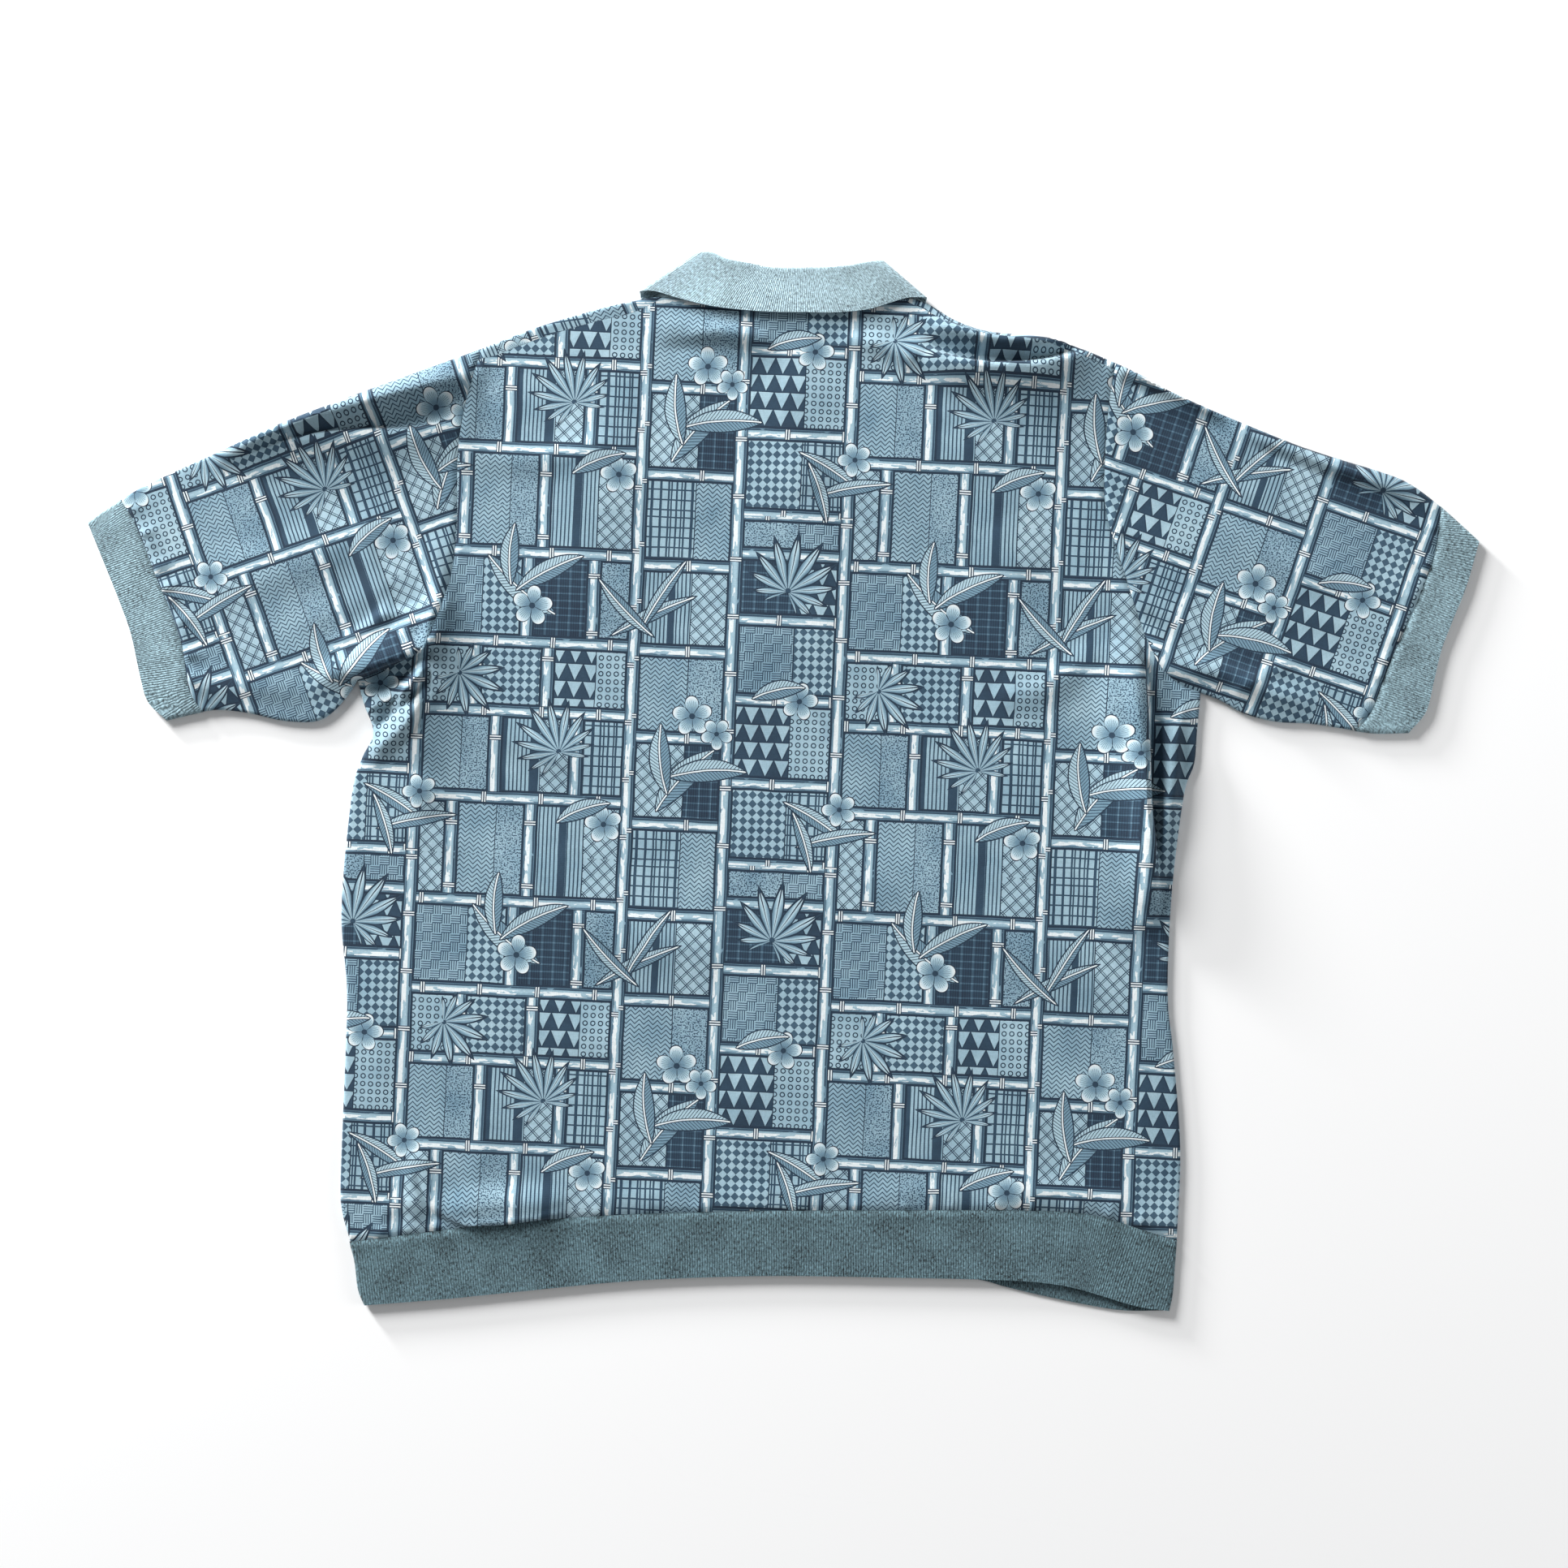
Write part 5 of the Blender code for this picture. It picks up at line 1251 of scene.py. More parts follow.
def fills(x, y, kind, tone_noise):
    """The small traditional fillings of the panels, one for each number from 0 to 9."""
    a, b = ((x + y) / 9.5) % 1.0, ((x - y) / 9.5) % 1.0
    tone = ((a < 0.1) | (b < 0.1) | a.near(0.24, 0.035) | b.near(0.24, 0.035)) * -0.66 + 0.8
    swap = ((x / 6.6).floor() + (y / 6.6).floor()) % 2.0
    basket = ((x / 1.65) % 1.0 < 0.42).paint((y / 1.65) % 1.0 < 0.42, swap)
    tone = tone.paint(basket * -0.52 + 0.72, kind.near(1, 0.4))
    gx, gy = (x % 5.6) - 2.8, (y % 5.6) - 2.8
    tone = tone.paint((gx * gx + gy * gy).do("SQRT").near(1.55, 0.42) * -0.66 + 0.78, kind.near(2, 0.4))
    tone = tone.paint((((y + abs((x % 6.4) - 3.2)) / 3.3) % 1.0 < 0.3) * -0.56 + 0.74, kind.near(3, 0.4))
    tartan = (x % 8.4 < 1.3) + (y % 5.2 < 1.0) + (x % 1.7 < 0.6) * 0.5
    tone = tone.paint(tartan * 0.2 + 0.06, kind.near(4, 0.4))
    checks = (((x + y) / 6.2).floor() + ((x - y) / 6.2).floor()) % 2.0
    tone = tone.paint(checks * 0.5 + 0.28, kind.near(5, 0.4))
    tone = tone.paint((((x % 2.9 < 1.0) | (x % 23.0 < 5.0)) * -0.56) + 0.74, kind.near(6, 0.4))
    tone = tone.paint((tone_noise > 0.54) * -0.5 + 0.72, kind.near(7, 0.4))
    gx, gy = abs((x % 11.5) - 5.75) / 5.75, (y % 12.5) / 12.5
    points = (gx < gy) * 0.62 + 0.16
    tone = tone.paint(points.paint(0.1, gx.near(gy, 0.09) | (gy < 0.08)), kind.near(8, 0.4))
    steps = ((x % 7.2 < 1.1) | (y % 7.2 < 1.1) | (gx.near(0.5, 0.12))) * -0.56 + 0.76
    return tone.paint(steps, kind.near(9, 0.4))


def borders(*cuts):
    """Stops of a look-up that gives the edges before and after a place, and the number of the panel there."""
    edges = [0.0, *cuts, 1.0]
    return [(low, (low, high, 0.1 * number)) for number, (low, high) in enumerate(zip(edges[:-1], edges[1:]))]


def garden_print():
    """The printed jersey: a framework of round rods over panels of small patterns, with leaves and blossoms on it."""
    tree, (place,), end = new_group(
        "Garden print", [("Vector", "Cloth place", None)], [("Color", "Colour"), ("Float", "Tone")],
    )
    u, v, _ = apart(tree, place, "ShaderNodeSeparateXYZ")
    flow = noise(tree, place, 26.0, 3.0, 0.6)
    x, y = (u * 1000.0) % REPEAT_X, (v * 1000.0) % REPEAT_Y
    x, y = x + flow * 1.6, y + flow * -1.6

    # left part: two columns with upright rods between them, and cross rods of their own
    second = x > 70.0
    y_first, y_second = ((y - 26.0) % REPEAT_Y) / REPEAT_Y, y / REPEAT_Y
    low1, high1, number1 = apart(tree, ramp(tree, y_first, borders(0.248, 0.496, 0.74), True))
    low2, high2, number2 = apart(tree, ramp(tree, y_second, borders(0.232, 0.472, 0.70, 0.888), True))
    before_y = (y_first - low1).paint(y_second - low2, second)
    after_y = (high1 - y_first).paint(high2 - y_second, second)
    number = (number1 * 10.0).paint(number2 * 10.0 + 5.0, second)
    before_x = x - (second * 70.0)
    after_x = (second * 78.0 + 70.0) - x

    # right part: four rows with cross rods between them, and upright rods of their own
    right = x > 148.0
    y_row = ((y - 40.0) % REPEAT_Y) / REPEAT_Y
    low, high, row = apart(tree, ramp(tree, y_row, borders(0.248, 0.448, 0.704), True))
    share = (x - 148.0) / 152.0
    cuts = ramp(tree, share, borders(0.37, 0.75), True)
    for number_row, places in ((1, (0.26, 0.60)), (2, (0.49, 0.80)), (3, (0.18, 0.55))):
        other = ramp(tree, share, borders(*places), True)
        node = tree.nodes.new("ShaderNodeMix")
        node.data_type = "RGBA"
        plug(tree, (node.inputs[0], node.inputs[6], node.inputs[7]), (row.near(number_row * 0.1, 0.04), cuts, other))
        cuts = Term(tree, node.outputs[2])
    left_edge, right_edge, place_in_row = apart(tree, cuts)
    before_y, after_y = before_y.paint(y_row - low, right), after_y.paint(high - y_row, right)
    before_x = before_x.paint((share - left_edge) * 152.0, right)
    after_x = after_x.paint((right_edge - share) * 152.0, right)
    number = number.paint(row * 30.0 + place_in_row * 10.0 + 11.0, right)
    before_y, after_y = before_y * REPEAT_Y, after_y * REPEAT_Y

    # the panels' fillings; a wide panel holds two
    parted = (before_x / (before_x + after_x) > 0.56) & (before_x + after_x > 52.0)
    kind = (number * 3.0 + parted * 4.0) % 10.0
    tone = fills(x, y, kind, noise(tree, place, 900.0, 1.0))
    tone = tone + (flow - 0.5) * 0.34
    tone = tone.paint(0.06, (parted > 0.5) & (before_x / (before_x + after_x) < 0.57))

    # the rods
    to_x = before_x.paint(after_x * -1.0, before_x > after_x)
    to_y = before_y.paint(after_y * -1.0, before_y > after_y)
    at_border = (x < 160.0) | (x > 290.0)
    upright_on_top = (right * -1.0 + 1.0) | at_border
    upright, across = abs(to_x) < ROD, abs(to_y) < ROD * 0.92
    upright = upright & ((across * -1.0 + 1.0) | upright_on_top)
    off = (to_y / (ROD * 0.92)).paint(to_x / ROD, upright)
    along = (x + (y - to_y) * 0.7).paint(y + (x - to_x) * 0.7, upright)
    rod = off * off * -0.5 + 0.8
    brush = noise(tree, together(tree, along * 0.03, off * 0.5, (x - to_x) * 0.1), 3.2, 2.0)
    rod = rod.paint(1.0, off.near(-0.22, 0.34) & (brush > 0.47))
    rod = rod.paint(0.22, off.near(0.62, 0.14) & (brush > 0.34))
    rod = rod.paint(0.3, off.near(-0.66, 0.07) & (brush < 0.52))
    joint = abs(((along / 41.0) % 1.0) - 0.5)
    rod = rod.paint(0.99, joint < 0.034)
    rod = rod.paint(0.08, joint.near(0.0, 0.011) | joint.near(0.04, 0.008))
    rod = rod.paint(0.05, abs(off) > 0.86)
    tone = tone.paint(0.05, (abs(to_x) < ROD + 1.0) | (abs(to_y) < ROD + 0.8))
    tone = tone.paint(rod, upright | across)

    # leaves and blossoms over it all
    leaf, fan, flower = long_leaf(), fan_leaf(), blossom()
    for group, *values in (
        (leaf, 38, 60, 0.9, 62, 9.5), (leaf, 56, 66, 0.15, 58, 8.5), (leaf, 22, 72, 1.75, 52, 8.0),
        (fan, 108, 196, 1.2, 44, 2.3), (fan, 250, 74, 2.0, 40, 2.6), (fan, 176, 128, -0.6, 36, 2.0),
        (leaf, 216, 190, 2.5, 66, 8.5), (leaf, 236, 204, 0.55, 56, 7.5), (leaf, 208, 214, 1.6, 46, 7.0),
        (leaf, 12, 176, 0.5, 70, 5.2), (leaf, 18, 190, 1.05, 64, 4.8), (leaf, 292, 178, 2.4, 60, 5.0),
        (leaf, 136, 34, -0.5, 56, 5.6), (leaf, 150, 22, 0.25, 60, 5.6), (leaf, 128, 18, -1.2, 48, 5.2),
        (flower, 44, 104, 0.4, 15, 0), (flower, 62, 92, 1.0, 12, 0), (flower, 226, 178, 0.2, 15, 0),
        (flower, 152, 42, 0.7, 13, 0), (flower, 120, 118, 0.1, 14, 0), (flower, 284, 24, 0.5, 14, 0),
        (leaf, 268, 34, 0.45, 42, 7.0), (leaf, 104, 126, 0.3, 40, 7.0),
    ):
        inside, drawn = use(tree, group, x, y, *(float(value) for value in values))
        tone = tone.paint(drawn, inside)
    colour = ramp(tree, tone, PRINT_INKS)
    end(colour, tone)
    return tree


def hue(*colour):
    """A colour of the display, 0 to 255, as the light that it sends back."""
    return tuple(((c / 255 + 0.055) / 1.055) ** 2.4 * INK_LEVEL for c in colour)


INK_LEVEL = 0.82
PRINT_INKS = [
    (0.0, hue(20, 40, 60)), (0.2, hue(44, 72, 94)), (0.42, hue(82, 114, 135)), (0.66, hue(128, 164, 184)),
    (0.86, hue(184, 214, 227)), (1.0, hue(242, 250, 252)),
]


def knit(name="Jersey knit"):
    """Fine columns of knitted loops: a height for the bump, and a mask of the low places between the threads, where the
    jersey's colour is darkened as painted shade.
    """
    tree, (place, pitch, rows), end = new_group(
        name, [("Vector", "Cloth place", None), ("Float", "Columns a metre", 900.0), ("Float", "Rows a metre", 1100.0)],
        [("Float", "Height"), ("Float", "Between")],
    )
    u, v, _ = apart(tree, place, "ShaderNodeSeparateXYZ")
    wander = noise(tree, place, 60.0, 2.0) * 0.6
    side = ((u * pitch + wander) * math.pi * 2.0).do("SINE")
    leg = ((v * rows + abs(side) * 0.45 + wander) * math.pi * 2.0).do("SINE")
    height = abs(side) * 0.6 + leg * 0.25
    # the low places between the threads, given out so that the colour can darken them: painted shade
    end(height, height < 0.12)
    return tree


def heather():
    """Melange yarn: short flecks of paler and darker fibre along the wales, and soft broad clouds."""
    tree, (place, strength), end = new_group(
        "Heather", [("Vector", "Cloth place", None), ("Float", "Strength", 1.0)], [("Float", "Lift")],
    )
    u, v, _ = apart(tree, place, "ShaderNodeSeparateXYZ")
    flecks = noise(tree, together(tree, u * 1.6, v * 0.9), 480.0, 2.0, 0.75) - 0.5
    clouds = noise(tree, place, 38.0, 3.0) - 0.5
    end((flecks * 1.3 + clouds * 0.35) * strength + 1.0)
    return tree


def rib():
    """Upright ribs with furrows between them: a height for the bump, and a mask of the furrows, which the rib's colour
    darkens as painted shade.
    """
    tree, (place, wales), end = new_group(
        "Rib knit", [("Vector", "Cloth place", None), ("Float", "Wales a metre", 560.0)],
        [("Float", "Height"), ("Float", "Furrow")],
    )
    u, v, _ = apart(tree, place, "ShaderNodeSeparateXYZ")
    wander = (noise(tree, together(tree, u * 0.3, v), 90.0, 2.0) - 0.5) * 0.5
    wave = ((u * wales + wander) * math.pi * 2.0).do("SINE") * 0.5 + 0.5
    loops = ((v * 1000.0 + wave * 0.4) * math.pi * 2.0).do("SINE")
    end(wave.do("POWER", 0.7) + loops * 0.12, (wave < 0.22))
    return tree


def scaled(tree, colour, lift):
    """A colour made lighter or darker by a number."""
    node = tree.nodes.new("ShaderNodeVectorMath")
    node.operation = "SCALE"
    plug(tree, (node.inputs[0], node.inputs[3]), (colour, lift))
    return Term(tree, node.outputs[0])


def blended(tree, share, a, b):
    """A mix of two colours."""
    node = tree.nodes.new("ShaderNodeMix")
    node.data_type = "RGBA"
    plug(tree, (node.inputs[0], node.inputs[6], node.inputs[7]), (share, a, b))
    return Term(tree, node.outputs[2])


def cloth_material(name, rough, sheen):
    """A material of cloth, its own map's place, and a way to finish it with a colour and a bump's height."""
    made = bpy.data.materials.new(name)
    made.use_nodes = True
    tree = made.node_tree
    shader = tree.nodes["Principled BSDF"]
    for label, value in (
        ("Roughness", rough), ("Specular IOR Level", 0.25), ("Sheen Weight", sheen), ("Sheen Roughness", 0.55),
    ):
        shader.inputs[label].default_value = value
    own = tree.nodes.new("ShaderNodeUVMap")
    own.uv_map = "Cloth"

    def finish(colour, height, depth):
        bump = tree.nodes.new("ShaderNodeBump")
        bump.inputs["Distance"].default_value = depth
        bump.inputs["Strength"].default_value = 0.6
        plug(tree, (bump.inputs["Height"],), (height,))
        tree.links.new(bump.outputs["Normal"], shader.inputs["Normal"])
        tree.links.new(colour.socket, shader.inputs["Base Color"])

    return made, tree, Term(tree, own.outputs[0]), finish


def make_cloths():
    """The finishes of every cut piece, each with its right side and its reverse."""
    printed, jersey, melange, ribbed = garden_print(), knit(), heather(), rib()
    made = {}
    for name in ("jersey_back", "jersey_front", "jersey_sleeve_left", "jersey_sleeve_right", "jersey_placket"):
        faces = []
        for side in ("face", "reverse"):
            material, tree, place, finish = cloth_material(f"{name} {side}", 0.86, 0.12)
            shift = tree.nodes.new("ShaderNodeMapping")
            shift.inputs["Location"].default_value = (*PRINT_STARTS[name], 0)
            plug(tree, shift.inputs, (place,))
            colour, _ = use(tree, printed, Term(tree, shift.outputs[0]))
            height, between = use(tree, jersey, place, 900.0, 1100.0)
            (lift,) = use(tree, melange, place, 0.35)
            if side == "reverse":
                colour = blended(tree, 0.24, (*hue(176, 198, 208), 1), colour)
            # painted shade: the hollows between the knit's threads are darkened by a tenth, over the yarn's own melange
            colour = scaled(tree, colour, lift - between * 0.1)
            finish(colour, height, 0.0004)
            faces.append(material)
        made[name] = faces
    # each rib: its name, its colour, wales a metre, the share of painted shade in its furrows, and the strength of its
    # flecks
    for name, colour, wales, furrow_shade_share, flecks in (
        ("rib_collar", (172, 199, 209), 640.0, 0.16, 2.6),
        ("rib_cuffs", (140, 168, 178), 640.0, 0.2, 3.0),
        ("rib_hem", (92, 119, 128), 560.0, 0.34, 3.6),
    ):
        material, tree, place, finish = cloth_material(name, 0.84, 0.15)
        height, furrow = use(tree, ribbed, place, wales)
        (lift,) = use(tree, melange, place, flecks)
        # painted shade: the furrows are mixed towards a darker copy of the rib's colour, by each rib's share in the
        # table above
        crest, furrow_shade_colour = (*hue(*colour), 1), (*hue(*(0.62 * c for c in colour)), 1)
        finish(scaled(tree, blended(tree, furrow * furrow_shade_share, crest, furrow_shade_colour), lift), height, 0.0005)
        made[name] = [material, material]
    return made


# Where the print's repeat starts on each cut piece, in metres
PRINT_STARTS = {
    "jersey_back": (0.11, 0.06), "jersey_front": (0.03, 0.14), "jersey_sleeve_left": (0.19, 0.02),
    "jersey_sleeve_right": (0.07, 0.11), "jersey_placket": (0.0, 0.05),
}


# ---------------------------------------------------------------- buttons


def build_buttons(plastic, thread):
    """Four-hole buttons with a raised rim and a dished middle, face down, sewn on with crossed thread."""
    face = ((0.0, 0.52), (0.5, 0.55), (0.62, 0.5), (0.72, 0.12), (0.82, 0.0), (0.93, 0.12), (1.0, 0.5))
    rear = ((0.0, 1.0), (0.8, 1.0), (0.94, 0.9), (1.0, 0.7))

    def ring(reach, count, at=(0.0, 0.0)):
        turns = np.arange(count) * 2 * math.pi / count
        return np.column_stack([at[0] + reach * np.cos(turns), at[1] + reach * np.sin(turns)])

    holes = [(i * 1.25, j * 1.25) for i in (-1, 1) for j in (-1, 1)]
    loops = [ring(BUTTON_RADIUS, BUTTON_SIDES)] + [ring(0.62, 12, hole) for hole in holes]
    edges, start = [], 0
    for loop in loops:
        edges += [(start + k, start + (k + 1) % len(loop)) for k in range(len(loop))]
        start += len(loop)
    spots = Spots([tuple(p) for p in np.vstack(loops)])
    for share in (0.97, 0.93, 0.88, 0.82, 0.77, 0.72, 0.67, 0.62, 0.56, 0.5, 0.42, 0.2, 0.02):
        spots.add(ring(share * BUTTON_RADIUS, BUTTON_SIDES if share > 0.5 else 16).tolist(), 0.12)
    found = delaunay_2d_cdt(spots.points, edges, [], 1, 1e-6)
    plan = np.array([tuple(p) for p in found[0]])
    cells = []
    for cell in found[2]:
        middle = plan[list(cell)].mean(axis=0)
        if min(math.hypot(*(middle - hole)) for hole in holes) > 0.6:
            a, b, c = (plan[k] for k in cell)
            turn = (b[0] - a[0]) * (c[1] - a[1]) - (b[1] - a[1]) * (c[0] - a[0])
            cells.append(tuple(cell) if turn > 0 else tuple(reversed(cell)))
    share = np.hypot(plan[:, 0], plan[:, 1]) / BUTTON_RADIUS
    owned = {(a, b) for cell in cells for a, b in zip(cell, cell[1:] + cell[:1])}
    count = len(plan)
    faces = [*cells, *[tuple(k + count for k in reversed(cell)) for cell in cells]]
    faces += [(b, a, a + count, b + count) for a, b in owned if (b, a) not in owned]
    made = {}
    for number, y in enumerate(BUTTON_Y, 1):
        level = [BUTTON_CLEAR + BUTTON_THICK * np.interp(share, *zip(*profile)) for profile in (rear, face)]
        verts = np.vstack([np.column_stack([plan + (PLACKET_X, y), z]) for z in level])
        made[f"button_{number}"] = add_object(f"button_{number}_sewn", verts, faces, [plastic], angle=40)
        strands, low, high = [], BUTTON_CLEAR + BUTTON_THICK * 0.42, BUTTON_CLEAR + BUTTON_THICK + 1.0
        for (i, j), (m, n) in ((holes[0], holes[3]), (holes[1], holes[2])):
            for k in (-0.17, 0.17):
                line = [
                    (i, j, high), (i, j, low + 0.2), (i * 0.8, j * 0.8, low),
                    (m * 0.8, n * 0.8, low), (m, n, low + 0.2), (m, n, high),
                ]
                strands.append([(PLACKET_X + a + k, y + b - k * np.sign(i * j), z) for a, b, z in line])
        made[f"thread {number}"] = add_tubes(f"button_{number}_thread", strands, 0.16, thread)
    return made


def add_tubes(name, lines, radius, material, sides=8):
    """Round strands along lines, closed at both ends."""
    verts, faces = [], []
    for line in lines:
        line = np.array(line, float)
        ways = unit(np.gradient(line, axis=0))
        aside = unit(np.cross(ways, (0.31, 0.17, 0.93)))
        over = np.cross(ways, aside)
        start = len(verts)
        for point, a, b in zip(line, aside, over):
            for k in range(sides):
                turn = 2 * math.pi * k / sides
                verts.append(point + radius * (math.cos(turn) * a + math.sin(turn) * b))
        for i in range(len(line) - 1):
            for k in range(sides):
                a, b = start + i * sides + k, start + i * sides + (k + 1) % sides
                faces.append((a, b, b + sides, a + sides))
        faces.append(tuple(start + k for k in reversed(range(sides))))
        faces.append(tuple(start + (len(line) - 1) * sides + k for k in range(sides)))
    return add_object(name, verts, faces, [material])


# ---------------------------------------------------------------- stitches


def stitch_row_tree():
    """Geometry Nodes: a stitch at every step along a path, in even sizes that vary a little."""
    tree = bpy.data.node_groups.new("Row of stitches", "GeometryNodeTree")
    for kind, label, default in (
        ("Geometry", "Path", None), ("Float", "Step", 0.003), ("Float", "Stitch length", 0.002),
        ("Float", "Thread", 0.0004), ("Float", "Turn", 0.0), ("Int", "Seed", 1), ("Material", "Finish", None),
    ):
        socket = tree.interface.new_socket(label, in_out="INPUT", socket_type=f"NodeSocket{kind}")
        if default is not None:
            socket.default_value = default
    tree.interface.new_socket("Stitches", in_out="OUTPUT", socket_type="NodeSocketGeometry")
    add, link = tree.nodes.new, tree.links.new
    start, end = add("NodeGroupInput"), add("NodeGroupOutput")
    curve, row = add("GeometryNodeMeshToCurve"), add("GeometryNodeResampleCurve")
    row.mode = "LENGTH"
    ball = add("GeometryNodeMeshUVSphere")
    ball.inputs["Segments"].default_value, ball.inputs["Rings"].default_value = 6, 4
    ball.inputs["Radius"].default_value = 0.5
    size, tangent = add("ShaderNodeCombineXYZ"), add("GeometryNodeInputTangent")
    facing, turn = add("FunctionNodeAlignRotationToVector"), add("FunctionNodeRotateRotation")
    spin = add("FunctionNodeAxisAngleToRotation")
    facing.axis = "X"
    facing.pivot_axis = "Z"
    turn.rotation_space = "LOCAL"
    spin.inputs["Axis"].default_value = (0, 0, 1)
    vary, wobble = add("FunctionNodeRandomValue"), add("FunctionNodeRandomValue")
    vary.data_type = wobble.data_type = "FLOAT"
    for node, low, high in ((vary, 0.88, 1.12), (wobble, -0.14, 0.14)):
        node.inputs[2].default_value, node.inputs[3].default_value = low, high
        link(start.outputs["Seed"], node.inputs["Seed"])
    add_turn, long = add("ShaderNodeMath"), add("ShaderNodeMath")
    add_turn.operation, long.operation = "ADD", "MULTIPLY"
    place, real = add("GeometryNodeInstanceOnPoints"), add("GeometryNodeRealizeInstances")
    finish = add("GeometryNodeSetMaterial")
    link(start.outputs["Path"], curve.inputs[0])
    link(curve.outputs[0], row.inputs["Curve"])
    link(start.outputs["Step"], row.inputs["Length"])
    link(row.outputs[0], place.inputs["Points"])
    link(ball.outputs["Mesh"], place.inputs["Instance"])
    link(tangent.outputs[0], facing.inputs["Vector"])
    link(start.outputs["Turn"], add_turn.inputs[0])
    link(wobble.outputs[1], add_turn.inputs[1])
    link(add_turn.outputs[0], spin.inputs["Angle"])
    link(facing.outputs[0], turn.inputs["Rotation"])
    link(spin.outputs[0], turn.inputs["Rotate By"])
    link(turn.outputs[0], place.inputs["Rotation"])
    link(start.outputs["Stitch length"], long.inputs[0])
    link(vary.outputs[1], long.inputs[1])
    link(long.outputs[0], size.inputs[0])
    link(start.outputs["Thread"], size.inputs[1])
    link(start.outputs["Thread"], size.inputs[2])
    link(size.outputs[0], place.inputs["Scale"])
    link(place.outputs[0], real.inputs[0])
    link(real.outputs[0], finish.inputs["Geometry"])
    link(start.outputs["Finish"], finish.inputs["Material"])
    link(finish.outputs[0], end.inputs[0])
    return tree


def sew(tree, name, lines, thread, **sizes):
    """Stitches along lines, made a plain mesh."""
    verts, edges = [], []
    for line in lines:
        edges += [(len(verts) + k, len(verts) + k + 1) for k in range(len(line) - 1)]
        verts += list((np.asarray(line) - MIDDLE) * MM)
    mesh = bpy.data.meshes.new(name)
    mesh.from_pydata([tuple(v) for v in verts], edges, [])
    path = bpy.data.objects.new(f"{name}_path", mesh)
    bpy.context.scene.collection.objects.link(path)
    rows = path.modifiers.new("Row of stitches", "NODES")
    rows.node_group = tree
    for item in tree.interface.items_tree:
        if item.in_out == "INPUT" and item.name in sizes:
            rows[item.identifier] = sizes[item.name]
        if item.name == "Finish":
            rows[item.identifier] = thread
    ready = path.evaluated_get(bpy.context.evaluated_depsgraph_get())
    sewn = bpy.data.meshes.new_from_object(ready)
    sewn.name = name
    bpy.data.objects.remove(path)
    obj = bpy.data.objects.new(name, sewn)
    sewn.shade_smooth()
    bpy.context.scene.collection.objects.link(obj)
    return obj


def seam_lines():
    """The seams on the upper layer, as lines in the ditch between two pieces."""
    lines = []
    for seam in SEAMS:
        plan = stations(seam, 2.0)[2:-2]
        points = upper(plan)
        points[:, 2] += CLOTH / 2 - 0.12
        lines.append(points)
    for side in (Side(0), Side(1)):
        points = upper(at_length(side.seam, np.arange(4, lengths(side.seam)[-1] - 1, 2.0)))
        points[:, 2] += CLOTH / 2 - 0.05
        lines.append(points)
    return lines


def sew_all(thread, dark_thread):
    """All rows of stitches: seams, placket and buttonholes."""
    tree = stitch_row_tree()
    made = {
        "seam": sew(tree, "seam_stitches", seam_lines(), dark_thread, **{
            "Step": 0.0026, "Stitch length": 0.0011, "Thread": 0.00034, "Turn": 1.45, "Seed": 3}),
    }
    low, high = PLACKET_X - PLACKET_WIDTH / 2 + 2.0, PLACKET_X + PLACKET_WIDTH / 2 - 2.0
    foot, top = PLACKET_FOOT + 2.0, FRONT_NECK_LEFT[-1][1] - 2.0
    rows = []
    for corners in (
        ((low, top), (low, foot), (high, foot), (high, top)), ((low, foot + 26), (high, foot + 26)),
        ((low, foot + 26), (high, foot)), ((low, foot), (high, foot + 26)),
    ):
        line = np.array(corners, float)
        plan = at_length(line, np.arange(0, lengths(line)[-1], 1.5))
        points = lower(plan)
        points[:, 2] -= PLACKET_CLOTH / 2 + 0.06
        rows.append(points)
    made["placket"] = sew(tree, "placket_stitches", rows, thread, **{
        "Step": 0.0027, "Stitch length": 0.0022, "Thread": 0.0004, "Turn": 0.0, "Seed": 5})
    holes = []
    for y in BUTTON_Y:
        turns = np.linspace(0, 2 * math.pi, 60)
        upright = 7.4 * np.sign(np.sin(turns)) * np.abs(np.sin(turns)) ** 0.5
        plan = np.column_stack([PLACKET_X + 1.5 * np.cos(turns), y + upright])
        points = lower(plan)
        points[:, 2] -= PLACKET_CLOTH / 2 + 0.05
        holes.append(points)
    made["buttonholes"] = sew(tree, "buttonhole_stitches", holes, thread, **{
        "Step": 0.0006, "Stitch length": 0.0022, "Thread": 0.0005, "Turn": 1.5708, "Seed": 8})
    return made


def make_trims():
    """The buttons' plastic and the sewing threads."""
    plastic = bpy.data.materials.new("button plastic")
    plastic.use_nodes = True
    tree = plastic.node_tree
    shader = tree.nodes["Principled BSDF"]
    place = Term(tree, tree.nodes.new("ShaderNodeTexCoord").outputs["Object"])
    swirl = noise(tree, place, 240.0, 4.0, 0.6)
    colour = blended(tree, swirl, (*hue(70, 92, 106), 1), (*hue(128, 150, 162), 1))
    tree.links.new(colour.socket, shader.inputs["Base Color"])
    rough = noise(tree, place, 1400.0) * 0.2 + 0.24
    tree.links.new(rough.socket, shader.inputs["Roughness"])
    shader.inputs["Coat Weight"].default_value = 0.3
    shader.inputs["Coat Roughness"].default_value = 0.12
    threads = []
    for name, tone in (("pale thread", (150, 176, 188)), ("dark thread", (58, 80, 96))):
        material = bpy.data.materials.new(name)
        material.use_nodes = True
        tree = material.node_tree
        shader = tree.nodes["Principled BSDF"]
        place = Term(tree, tree.nodes.new("ShaderNodeTexCoord").outputs["Object"])
        twist = noise(tree, place, 5200.0, 1.0)
        colour = blended(tree, twist, (*hue(*(0.75 * c for c in tone)), 1), (*hue(*tone), 1))
        tree.links.new(colour.socket, shader.inputs["Base Color"])
        shader.inputs["Roughness"].default_value = 0.7
        threads.append(material)
    return plastic, *threads


# ---------------------------------------------------------------- the whole shirt


